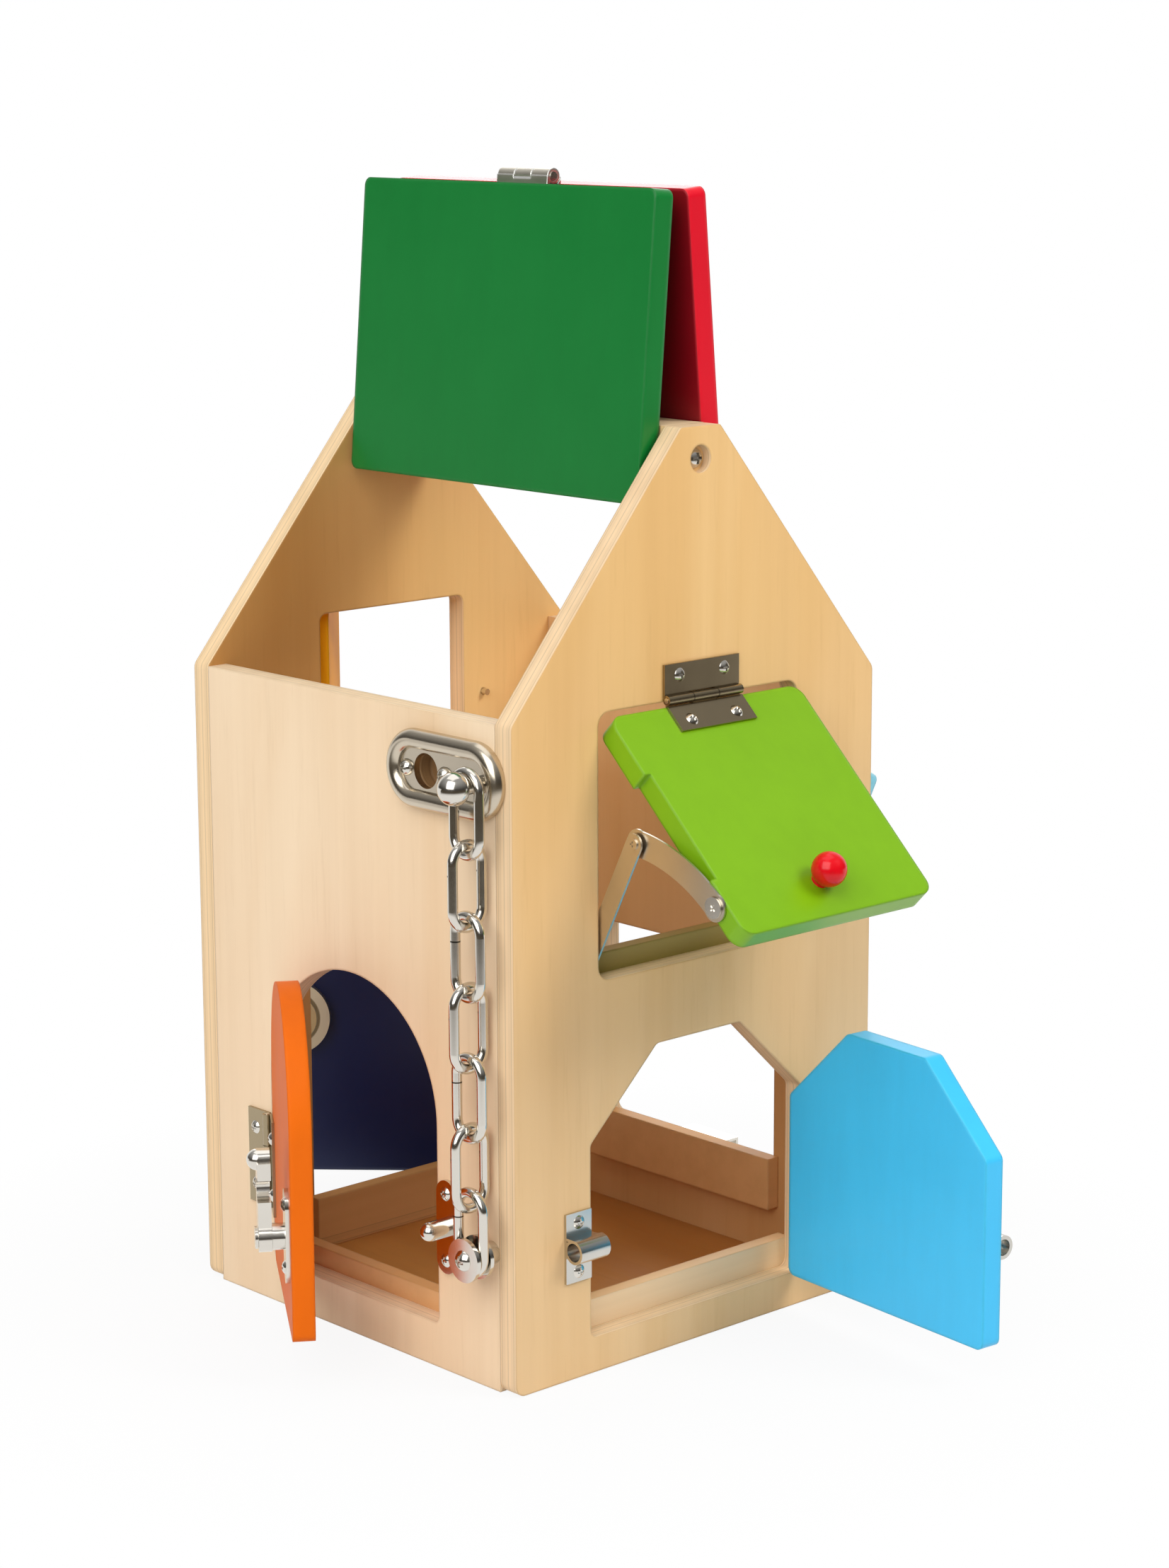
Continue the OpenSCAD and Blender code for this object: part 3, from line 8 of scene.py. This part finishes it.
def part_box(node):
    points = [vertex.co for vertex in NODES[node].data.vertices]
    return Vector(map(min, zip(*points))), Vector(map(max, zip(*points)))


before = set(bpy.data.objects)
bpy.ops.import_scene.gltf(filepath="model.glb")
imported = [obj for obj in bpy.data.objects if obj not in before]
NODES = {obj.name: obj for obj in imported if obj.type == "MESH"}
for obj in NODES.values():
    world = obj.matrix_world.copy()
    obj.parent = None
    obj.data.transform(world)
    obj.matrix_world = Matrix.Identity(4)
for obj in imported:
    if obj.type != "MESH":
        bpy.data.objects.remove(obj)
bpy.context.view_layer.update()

# Sizes that the finishes need from the CAD model
HALF = 0.085
PLY = 0.008
HATCH_STRIP = 0.11
PLATE_POCKET = (-0.0825, -0.045, 0.2085)

# Radius that edges seem rounded to, how finely that is sampled, and the leans between which it sets in
PAINT_ROUND = 0.0018
WOOD_ROUND = 0.0012
BEVEL_SAMPLES = 6
EDGE_LEAN = (0.995, 0.90)

# How strongly a painted highlight pales the paint along an edge
EDGE_HIGHLIGHT = 0.35

# Camera, fitted to the photograph
CAMERA_AT = Vector((-0.8297, -0.9305, 0.4436))
CAMERA_AZIMUTH = -42.57
CAMERA_ELEVATION = 11.73
CAMERA_ROLL = -0.22
LENS_MM = 81.97
SENSOR_MM = 36.0

# The raw wood in the edges of the boards, and a tint that changes nothing
EDGE = (0.93, 0.73, 0.50, 1)
PLAIN = (1, 1, 1, 1)

# The way the photograph's white backdrop lies from the house
BACKDROP = (0.68, 0.73, 0.0)

# Half the floor's side, and how far it lies below the house
FLOOR_HALF = 6.0
FLOOR_DROP = 0.0004

# Square lights aimed at the middle of the house: place, side in metres, watts, and whether gloss mirrors it
CENTRE = (0.0, 0.0, 0.19)
LIGHTS = {
    "key": ((-1.65, -0.7, 1.4), 1.9, 36, True),
    "front": ((0.8, -1.45, 1.6), 0.9, 22, False),
    "top": ((0.0, 0.2, 1.9), 1.5, 7, True),
    "back": ((1.0, 1.4, 1.0), 1.0, 6, True),
}

RANGE_SOCKETS = ("From Min", "From Max", "To Min", "To Max")


def srgb(r, g, b):
    """Linear colour with alpha from 0 to 255 display values."""
    out = []
    for c in (r / 255, g / 255, b / 255):
        out.append(c / 12.92 if c <= 0.04045 else ((c + 0.055) / 1.055) ** 2.4)
    return (*out, 1.0)


def shade(colour, k):
    return (*(min(1.0, c * k) for c in colour[:3]), 1.0)


def between(a, b):
    return (*((x + y) / 2 for x, y in zip(a[:3], b[:3])), 1.0)


class Finish:
    """A node material with short calls for the nodes that the finishes share."""

    def __init__(self, name):
        self.material = bpy.data.materials.new(name)
        self.material.use_nodes = True
        self.tree = self.material.node_tree
        self.shader = self.tree.nodes["Principled BSDF"]
        self.coords = self.tree.nodes.new("ShaderNodeTexCoord")
        self.edges = None

    def join(self, source, target):
        self.tree.links.new(source, target)

    def set(self, name, value):
        """A shader input from a socket or a number."""
        if isinstance(value, (int, float)):
            self.shader.inputs[name].default_value = value
        else:
            self.join(value, self.shader.inputs[name])

    def scaled(self, scale):
        """Object coordinates, in metres, times a scale on each axis."""
        node = self.tree.nodes.new("ShaderNodeMapping")
        node.inputs["Scale"].default_value = scale
        self.join(self.coords.outputs["Object"], node.inputs["Vector"])
        return node.outputs["Vector"]

    def noise(self, scale, detail=4.0, roughness=0.55, distortion=0.0):
        node = self.tree.nodes.new("ShaderNodeTexNoise")
        node.inputs["Scale"].default_value = 1.0
        node.inputs["Detail"].default_value = detail
        node.inputs["Roughness"].default_value = roughness
        node.inputs["Distortion"].default_value = distortion
        self.join(self.scaled(scale), node.inputs["Vector"])
        return node.outputs["Fac"]

    def ramp(self, value, stops):
        node = self.tree.nodes.new("ShaderNodeValToRGB")
        elements = node.color_ramp.elements
        while len(elements) < len(stops):
            elements.new(1.0)
        for element, (position, colour) in zip(elements, stops):
            element.position = position
            element.color = colour
        self.join(value, node.inputs["Fac"])
        return node.outputs["Color"]

    def range(self, value, low, high, new_low=0.0, new_high=1.0):
        node = self.tree.nodes.new("ShaderNodeMapRange")
        for name, number in zip(RANGE_SOCKETS, (low, high, new_low, new_high)):
            node.inputs[name].default_value = number
        self.join(value, node.inputs["Value"])
        return node.outputs["Result"]

    def math(self, operation, a, b=None):
        node = self.tree.nodes.new("ShaderNodeMath")
        node.operation = operation
        for socket, value in zip(node.inputs, (a, b)):
            if value is None:
                continue
            if isinstance(value, (int, float)):
                socket.default_value = value
            else:
                self.join(value, socket)
        return node.outputs["Value"]

    def vector(self, operation, a, b):
        """A number from a vector socket and a second one, or a fixed vector."""
        node = self.tree.nodes.new("ShaderNodeVectorMath")
        node.operation = operation
        self.join(a, node.inputs[0])
        if isinstance(b, tuple):
            node.inputs[1].default_value = b
        else:
            self.join(b, node.inputs[1])
        return node.outputs["Value"]

    def mix(self, factor, a, b, blend="MIX"):
        node = self.tree.nodes.new("ShaderNodeMix")
        node.data_type = "RGBA"
        node.blend_type = blend
        sockets = (node.inputs[0], node.inputs[6], node.inputs[7])
        for socket, value in zip(sockets, (factor, a, b)):
            if isinstance(value, (int, float, tuple)):
                socket.default_value = value
            else:
                self.join(value, socket)
        return node.outputs[2]

    def times(self, colour, factor, tint):
        """A colour multiplied by a tint as far as the factor says."""
        return self.mix(factor, colour, tint, "MULTIPLY")

    def axis(self, output, name):
        node = self.tree.nodes.new("ShaderNodeSeparateXYZ")
        self.join(self.coords.outputs[output], node.inputs["Vector"])
        return node.outputs[name]

    def soften(self, radius):
        """Shades sharp edges as if they were rounded to a radius."""
        node = self.tree.nodes.new("ShaderNodeBevel")
        node.samples = BEVEL_SAMPLES
        node.inputs["Radius"].default_value = radius
        self.edges = node.outputs["Normal"]
        self.join(self.edges, self.shader.inputs["Normal"])

    def on_edge(self):
        """1 where a softened edge leans away from its face, 0 on the flat."""
        face = self.tree.nodes.new("ShaderNodeNewGeometry").outputs["True Normal"]
        return self.range(self.vector("DOT_PRODUCT", self.edges, face), *EDGE_LEAN)

    def bump(self, height, strength, distance):
        node = self.tree.nodes.new("ShaderNodeBump")
        node.inputs["Strength"].default_value = strength
        node.inputs["Distance"].default_value = distance
        self.join(height, node.inputs["Height"])
        if self.edges:
            self.join(self.edges, node.inputs["Normal"])
        self.join(node.outputs["Normal"], self.shader.inputs["Normal"])


def paint(name, colour, rough=0.31, gloss=0.42, painted_shade_side=None):
    """Semi-gloss paint on sanded board: faint clouding and grain, and a painted highlight along the edges.

    The last argument is the way that the side in shade faces and the tint that paints its shade."""
    f = Finish(name)
    f.soften(PAINT_ROUND)
    cloud = f.noise((22, 22, 22), 3.0)
    grain = f.noise((160, 160, 26), 5.0, 0.6)
    base = f.ramp(cloud, [(0.1, shade(colour, 0.95)), (0.9, shade(colour, 1.05))])
    base = f.times(base, 1.0, f.ramp(grain, [(0.35, (0.97, 0.97, 0.97, 1)), (0.62, PLAIN)]))
    # Painted shade on the side that faces the given way, darkened by its tint
    if painted_shade_side:
        way, tint = painted_shade_side
        facing = f.vector("DOT_PRODUCT", f.coords.outputs["Normal"], way)
        base = f.times(base, f.range(facing, 0.5, 0.9), tint)
    # Painted highlight: the paint is lightened where a softened edge turns away from its face
    pale = (*(min(1.0, c * 1.35 + 0.02) for c in colour[:3]), 1.0)
    base = f.mix(f.math("MULTIPLY", f.on_edge(), EDGE_HIGHLIGHT), base, pale)
    f.set("Base Color", base)
    f.set("Roughness", f.range(cloud, 0.1, 0.9, rough - 0.03, rough + 0.05))
    f.set("Specular IOR Level", gloss)
    fine = f.noise((1400, 1400, 500), 2.0)
    f.bump(f.math("ADD", f.math("MULTIPLY", fine, 0.35), grain), 0.03, 0.0004)
    return f.material


def lacquer(name, colour, deep):
    """Glossy lacquer on a turned ball, a little deeper in colour where it pooled."""
    f = Finish(name)
    cloud = f.noise((120, 120, 120), 2.0)
    f.set("Base Color", f.ramp(cloud, [(0.3, deep), (0.65, colour)]))
    f.set("Roughness", f.range(cloud, 0.3, 0.7, 0.14, 0.2))
    f.set("Specular IOR Level", 0.3)
    f.set("Coat Weight", 0.12)
    f.set("Coat Roughness", 0.1)
    return f.material


def plywood(name, across, start, light, dark, grain_axis="Z", warm=None, shade_gradient=None, hole_shade=None,
            depth_shade=None, shaded=None):
    """Lacquered veneer on the faces, and the layers of the board on the edges.

    across is the axis through the board's thickness and start its lowest place on that axis.
    warm is what the veneer is multiplied by towards the top of the board.
    A painted shade can be given as an axis, two places on it, and what the side that faces the low
    end of across is multiplied by at each.
    Painted shade further back can be given as two places on the Y axis between which its tint sets in, and
    the tint.
    shaded is a height, and the tint above it, which paints in shade and the green light thrown from the
    hatch.
    The middle of a hole can be given, whose walls then get painted shade."""
    f = Finish(name)
    f.soften(WOOD_ROUND)
    along = "XYZ".index(grain_axis)
    streaks, flames, fibres = [95.0] * 3, [17.0] * 3, [420.0] * 3
    streaks[along], flames[along], fibres[along] = 2.2, 2.6, 26.0
    fine = f.noise(tuple(streaks), 6.0, 0.6)
    figure = f.noise(tuple(flames), 3.0, 0.5, 1.0)
    fibre = f.noise(tuple(fibres), 3.0, 0.6)
    pale = between(light, dark)
    face = f.ramp(figure, [(0.25, dark), (0.5, pale), (0.75, light)])
    face = f.times(face, 1.0, f.ramp(fine, [(0.3, (0.955, 0.94, 0.92, 1)), (0.6, PLAIN)]))
    face = f.times(face, 1.0, f.ramp(fibre, [(0.28, (0.965, 0.955, 0.94, 1)), (0.42, PLAIN)]))
    if warm:
        face = f.times(face, f.range(f.axis("Object", "Z"), 0.10, 0.26), warm)
    place = f.math("DIVIDE", f.math("SUBTRACT", f.axis("Object", across), start), PLY)
    raw = between(pale, EDGE)
    brown, tan = shade(raw, 0.70), shade(raw, 0.93)
    layers = f.ramp(place, [
        (0.00, raw), (0.10, raw), (0.13, brown), (0.17, tan), (0.31, tan),
        (0.34, raw), (0.47, raw), (0.50, brown), (0.54, raw), (0.66, raw),
        (0.69, tan), (0.83, tan), (0.87, brown), (0.90, raw), (1.00, raw),
    ])
    layers = f.times(layers, 1.0, f.ramp(fine, [(0.3, (0.92, 0.90, 0.87, 1)), (0.6, PLAIN)]))
    on_face = f.range(f.math("ABSOLUTE", f.axis("Normal", across)), 0.55, 0.8)
    wood = f.mix(on_face, layers, face)
    # Painted shade on the inward side, graded along an axis
    if shade_gradient:
        direction, low, high, at_low, at_high = shade_gradient
        reach = f.range(f.axis("Object", direction), low, high)
        tint = f.ramp(reach, [(0.0, at_low), (1.0, at_high)])
        wood = f.times(wood, f.range(f.axis("Normal", across), -0.5, -0.8), tint)
    # Painted shade on the walls of a hole around the given middle
    if hole_shade:
        far = f.vector("DISTANCE", f.coords.outputs["Object"], hole_shade)
        wood = f.times(wood, f.range(far, 0.011, 0.008), (0.30, 0.22, 0.14, 1))
    # Painted shade on the parts further back in the house
    if depth_shade:
        low, high, tint = depth_shade
        wood = f.times(wood, f.range(f.axis("Object", "Y"), low, high), tint)
    # Painted shade, tinted by green light from the hatch, on the hatch sill's strip
    if shaded:
        height, tint = shaded
        wood = f.times(wood, f.range(f.axis("Object", "Z"), height - 0.002, height), tint)
    f.set("Base Color", wood)
    f.set("Roughness", f.range(fine, 0.3, 0.7, 0.42, 0.54))
    f.set("Specular IOR Level", 0.3)
    f.bump(f.math("ADD", f.math("MULTIPLY", fibre, 0.6), fine), 0.06, 0.0004)
    return f.material


def nickel(name, colour, low, high, seam=False, rings=None, rounded=None):
    """Plated steel: faint cloudy tarnish and fine polishing marks.

    low and high are the least and the most roughness.
    seam draws the butt joint in the wire of a chain link.
    rings is the middle and the outer radius of a round nut with turned grooves.
    rounded is the radius of edges that are shaded as rounded and given a painted highlight."""
    f = Finish(name)
    cloud = f.noise((70, 70, 70), 4.0)
    marks = f.noise((900, 900, 900), 3.0, 0.6)
    metal = f.ramp(cloud, [(0.1, shade(colour, 0.88)), (0.9, colour)])
    if seam:
        height = f.math("ABSOLUTE", f.math("SUBTRACT", f.axis("Generated", "Z"), 0.64))
        one_side = f.range(f.axis("Generated", "Y"), 0.55, 0.6)
        line = f.math("MULTIPLY", f.range(height, 0.011, 0.005), one_side)
        metal = f.times(metal, line, (0.10, 0.09, 0.08, 1))
    if rings:
        middle, radius = rings
        out = f.math("DIVIDE", f.vector("DISTANCE", f.coords.outputs["Object"], middle), radius)
        dark = (0.34, 0.31, 0.25, 1)
        grooves = f.ramp(out, [
            (0.0, dark), (0.60, dark), (0.64, PLAIN), (0.69, dark), (0.74, dark), (0.77, PLAIN), (1.0, PLAIN),
        ])
        metal = f.times(metal, 1.0, grooves)
    if rounded:
        f.soften(rounded)
        # Painted highlight: near-white metal along the softened edges
        metal = f.mix(f.on_edge(), metal, (1, 1, 0.96, 1))
    f.set("Base Color", metal)
    worn = f.math("ADD", cloud, f.math("MULTIPLY", marks, 0.4))
    f.set("Roughness", f.range(worn, 0.2, 1.2, low, high))
    f.set("Metallic", 1.0)
    f.bump(marks, 0.02, 0.0001)
    return f.material


def middle_of(node):
    """The middle of a node's box, and half its height."""
    low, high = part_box(node)
    return tuple((a + b) / 2 for a, b in zip(low, high)), (high[2] - low[2]) / 2


# Light and dark veneer colours, the left wall's paler to paint in light from the left and the floor's darker
# to paint in the shade of the interior, and what some of them are multiplied by
FRONT_VENEER = srgb(243, 208, 161), srgb(229, 186, 130)
# Paler than the front to paint in the light from the left
SIDE_VENEER = srgb(250, 226, 193), srgb(239, 207, 167)
BACK_VENEER = srgb(252, 216, 160), srgb(244, 202, 142)
# Darker and browner to paint in the shade of the interior
INNER_VENEER = srgb(200, 140, 72), srgb(182, 118, 56)
STRIP_VENEER = srgb(246, 206, 154), srgb(234, 190, 136)
WARM = (1.0, 0.93, 0.74, 1)
# Painted shade for the back gable's inner face towards the left, and low on the right wall's inner face
BACK_LEFT_SHADE = (0.64, 0.49, 0.36, 1)
RIGHT_LOW_SHADE = (0.80, 0.70, 0.58, 1)
# Painted shade for the stop strips further back in the house
DEPTH_SHADE_TINT = (0.83, 0.68, 0.50, 1)
# Painted shade with green light from the hatch, for the hatch sill
OLIVE = (0.42, 0.44, 0.22, 1)

MATERIALS = {
    "front_ply": plywood("front_ply", "Y", -HALF, *FRONT_VENEER, warm=WARM),
    "back_ply": plywood("back_ply", "Y", HALF - PLY, *BACK_VENEER, warm=WARM,
                        shade_gradient=("X", -0.04, 0.04, BACK_LEFT_SHADE, PLAIN)),
    "left_ply": plywood("left_ply", "X", -HALF, *SIDE_VENEER, hole_shade=PLATE_POCKET),
    "right_ply": plywood("right_ply", "X", HALF - PLY, *FRONT_VENEER,
                         shade_gradient=("Z", 0.17, 0.20, RIGHT_LOW_SHADE, PLAIN)),
    "floor_ply": plywood("floor_ply", "Z", 0.0, *INNER_VENEER, "Y"),
    "beam_wood": plywood("beam_wood", "X", -HALF, *FRONT_VENEER, "Y"),
    "strip_wood": plywood("strip_wood", "Z", 0.0, *STRIP_VENEER, "X",
                          depth_shade=(-0.076, -0.066, DEPTH_SHADE_TINT), shaded=(HATCH_STRIP, OLIVE)),
    "green": paint("green_paint", srgb(14, 120, 48)),
    # The red board's inner side, in the gap between the boards, gets painted shade
    "red": paint("red_paint", srgb(222, 8, 36),
                 painted_shade_side=((-0.98, 0.0, -0.2), (0.33, 0.6, 0.5, 1))),
    "lime": paint("lime_paint", srgb(122, 175, 12)),
    "sky": paint("sky_paint", srgb(64, 197, 250)),
    "orange": paint("orange_paint", srgb(233, 106, 2), rough=0.5, gloss=0.15),
    "navy": paint("navy_paint", srgb(4, 24, 74)),
    "amber": paint("amber_paint", srgb(255, 172, 16), rough=0.55, gloss=0.15),
    "cyan": paint("cyan_paint", srgb(140, 212, 232)),
    "red_gloss": lacquer("red_gloss", srgb(222, 10, 26), srgb(202, 4, 20)),
    # One nickel plating in copies whose base colours paint in what each part reflects: dark brown for the
    # hinge leaves, warm for the plate and stay, bright for the knuckles
    "nickel": nickel("nickel", (0.41, 0.33, 0.21, 1), 0.18, 0.27),
    "plate_nickel": nickel("plate_nickel", (0.66, 0.58, 0.46, 1), 0.20, 0.27),
    "knuckle_nickel": nickel("knuckle_nickel", (0.82, 0.77, 0.66, 1), 0.34, 0.44, rounded=0.0007),
    "bright_nickel": nickel("bright_nickel", (0.76, 0.72, 0.65, 1), 0.10, 0.22),
    "stay_nickel": nickel("stay_nickel", (0.70, 0.63, 0.52, 1), 0.28, 0.35),
    "link_nickel": nickel("link_nickel", (0.76, 0.72, 0.65, 1), 0.10, 0.22, seam=True),
    "nut_nickel": nickel("nut_nickel", (0.80, 0.78, 0.70, 1), 0.30, 0.40,
                         rings=middle_of("lock_nut")),
    "steel": nickel("steel", (0.66, 0.64, 0.59, 1), 0.16, 0.26),
}
FINISH_OF = {
    "front_gable": "front_ply", "back_gable": "back_ply",
    "left_wall": "left_ply", "right_wall": "right_ply",
    "floor_panel": "floor_ply", "ridge_beam": "beam_wood", "stop_strips": "strip_wood",
    "hatch_panel": "lime", "front_door_panel": "sky", "arch_door_panel": "orange",
    "back_door_panel": "navy", "window_door_panel": "amber", "flap_panel": "cyan",
    "roof_left_panel": "green", "roof_right_panel": "red", "hatch_knob": "red_gloss",
    "bolt_keeper": "steel", "bolt_barrel": "steel", "bolt_rod": "steel",
    "frame_hinge_leaves": "nickel", "chain_plate": "plate_nickel", "lock_nut": "nut_nickel",
    "roof_left_hinge": "knuckle_nickel", "roof_right_hinge": "knuckle_nickel",
    "stay_lower_link": "stay_nickel", "stay_upper_link": "stay_nickel",
}


def finish_of(node):
    """The name of a node's finish; screws, studs and small fittings are bright nickel."""
    if node.startswith("chain_link"):
        return "link_nickel"
    return FINISH_OF.get(node, "nickel" if node.endswith("hinge_leaf") else "bright_nickel")


for name, obj in NODES.items():
    obj.data.materials.clear()
    obj.data.materials.append(MATERIALS[finish_of(name)])


def combine(tree, operation, a, b):
    node = tree.nodes.new("ShaderNodeMath")
    node.operation = operation
    tree.links.new(a, node.inputs[0])
    tree.links.new(b, node.inputs[1])
    return node.outputs["Value"]


def spread(tree, value, low, high, new_low=0.0, new_high=1.0):
    node = tree.nodes.new("ShaderNodeMapRange")
    for name, number in zip(RANGE_SOCKETS, (low, high, new_low, new_high)):
        node.inputs[name].default_value = number
    tree.links.new(value, node.inputs["Value"])
    return node.outputs["Result"]


def toward_backdrop(tree, vector):
    node = tree.nodes.new("ShaderNodeVectorMath")
    node.operation = "DOT_PRODUCT"
    node.inputs[1].default_value = BACKDROP
    tree.links.new(vector, node.inputs[0])
    return node.outputs["Value"]


def ray_kinds(tree):
    """Flags for the camera's rays and for the rays that metal and glass send on."""
    rays = tree.nodes.new("ShaderNodeLightPath").outputs
    shiny = combine(tree, "MAXIMUM", rays["Is Glossy Ray"], rays["Is Transmission Ray"])
    return rays["Is Camera Ray"], shiny


def floor_material():
    """White to the camera, with a faint shadow near the house.

    Gloss mirrors it as a white sheet that ends in a dark room."""
    material = bpy.data.materials.new("studio_floor")
    material.use_nodes = True
    tree = material.node_tree
    tree.nodes.clear()
    out = tree.nodes.new("ShaderNodeOutputMaterial")
    diffuse = tree.nodes.new("ShaderNodeBsdfDiffuse")
    diffuse.inputs["Color"].default_value = (0.72, 0.72, 0.72, 1)
    glow = tree.nodes.new("ShaderNodeEmission")
    place = tree.nodes.new("ShaderNodeTexCoord").outputs["Object"]
    far = tree.nodes.new("ShaderNodeVectorMath")
    far.operation = "LENGTH"
    tree.links.new(place, far.inputs[0])
    camera, shiny = ray_kinds(tree)
    sheet = spread(tree, toward_backdrop(tree, place), -0.14, 0.04)
    sheet = combine(tree, "MAXIMUM", sheet, spread(tree, far.outputs["Value"], 0.75, 0.45))
    sheet = combine(tree, "MAXIMUM", sheet, camera)
    tint = tree.nodes.new("ShaderNodeValToRGB")
    tint.color_ramp.elements[0].color = (0.08, 0.065, 0.045, 1)
    tint.color_ramp.elements[1].color = (1, 1, 1, 1)
    tree.links.new(sheet, tint.inputs["Fac"])
    tree.links.new(tint.outputs["Color"], glow.inputs["Color"])
    clear = spread(tree, far.outputs["Value"], 0.10, 0.26, 0.90, 1.0)
    white = combine(tree, "MULTIPLY", camera, clear)
    mix = tree.nodes.new("ShaderNodeMixShader")
    tree.links.new(combine(tree, "MAXIMUM", white, shiny), mix.inputs["Fac"])
    tree.links.new(diffuse.outputs["BSDF"], mix.inputs[1])
    tree.links.new(glow.outputs["Emission"], mix.inputs[2])
    tree.links.new(mix.outputs["Shader"], out.inputs["Surface"])
    return material


def add_floor():
    mesh = bpy.data.meshes.new("floor")
    r = FLOOR_HALF
    mesh.from_pydata([(-r, -r, 0), (r, -r, 0), (r, r, 0), (-r, r, 0)], [], [(0, 1, 2, 3)])
    floor = bpy.data.objects.new("floor", mesh)
    bpy.context.scene.collection.objects.link(floor)
    floor.location.z = -FLOOR_DROP
    mesh.materials.append(floor_material())


def add_world():
    """White behind the object; elsewhere a dim room, brighter upwards, that lights it softly."""
    world = bpy.data.worlds.new("studio")
    bpy.context.scene.world = world
    world.use_nodes = True
    tree = world.node_tree
    tree.nodes.clear()
    out = tree.nodes.new("ShaderNodeOutputWorld")
    room = tree.nodes.new("ShaderNodeBackground")
    white = tree.nodes.new("ShaderNodeBackground")
    white.inputs["Color"].default_value = (1, 1, 1, 1)
    way = tree.nodes.new("ShaderNodeTexCoord").outputs["Generated"]
    split = tree.nodes.new("ShaderNodeSeparateXYZ")
    ramp = tree.nodes.new("ShaderNodeValToRGB")
    ramp.color_ramp.elements[0].position = 0.10
    ramp.color_ramp.elements[0].color = (0.06, 0.055, 0.05, 1)
    ramp.color_ramp.elements[1].position = 0.75
    ramp.color_ramp.elements[1].color = (0.40, 0.40, 0.40, 1)
    mix = tree.nodes.new("ShaderNodeMixShader")
    tree.links.new(way, split.inputs["Vector"])
    tree.links.new(split.outputs["Z"], ramp.inputs["Fac"])
    tree.links.new(ramp.outputs["Color"], room.inputs["Color"])
    camera, shiny = ray_kinds(tree)
    shiny = combine(tree, "MULTIPLY", shiny, spread(tree, toward_backdrop(tree, way), 0.45, 0.7))
    tree.links.new(combine(tree, "MAXIMUM", camera, shiny), mix.inputs["Fac"])
    tree.links.new(room.outputs["Background"], mix.inputs[1])
    tree.links.new(white.outputs["Background"], mix.inputs[2])
    tree.links.new(mix.outputs["Shader"], out.inputs["Surface"])


def add_light(name, place, side, watts, mirrored):
    data = bpy.data.lights.new(name, "AREA")
    data.shape = "SQUARE"
    data.size = side
    data.energy = watts
    light = bpy.data.objects.new(name, data)
    bpy.context.scene.collection.objects.link(light)
    light.location = place
    light.rotation_euler = (Vector(CENTRE) - Vector(place)).to_track_quat("-Z", "Y").to_euler()
    light.visible_glossy = mirrored


def add_camera():
    data = bpy.data.cameras.new("camera")
    data.sensor_fit = "VERTICAL"
    data.sensor_height = SENSOR_MM
    data.lens = LENS_MM
    data.clip_start = 0.01
    camera = bpy.data.objects.new("camera", data)
    bpy.context.scene.collection.objects.link(camera)
    turn = Matrix.Rotation(math.radians(CAMERA_AZIMUTH), 4, "Z")
    tilt = Matrix.Rotation(math.radians(90 - CAMERA_ELEVATION), 4, "X")
    roll = Matrix.Rotation(math.radians(CAMERA_ROLL), 4, "Z")
    camera.matrix_world = Matrix.Translation(CAMERA_AT) @ turn @ tilt @ roll
    bpy.context.scene.camera = camera


add_floor()
add_world()
for name, settings in LIGHTS.items():
    add_light(name, *settings)
add_camera()
bpy.context.scene.view_settings.view_transform = "Standard"
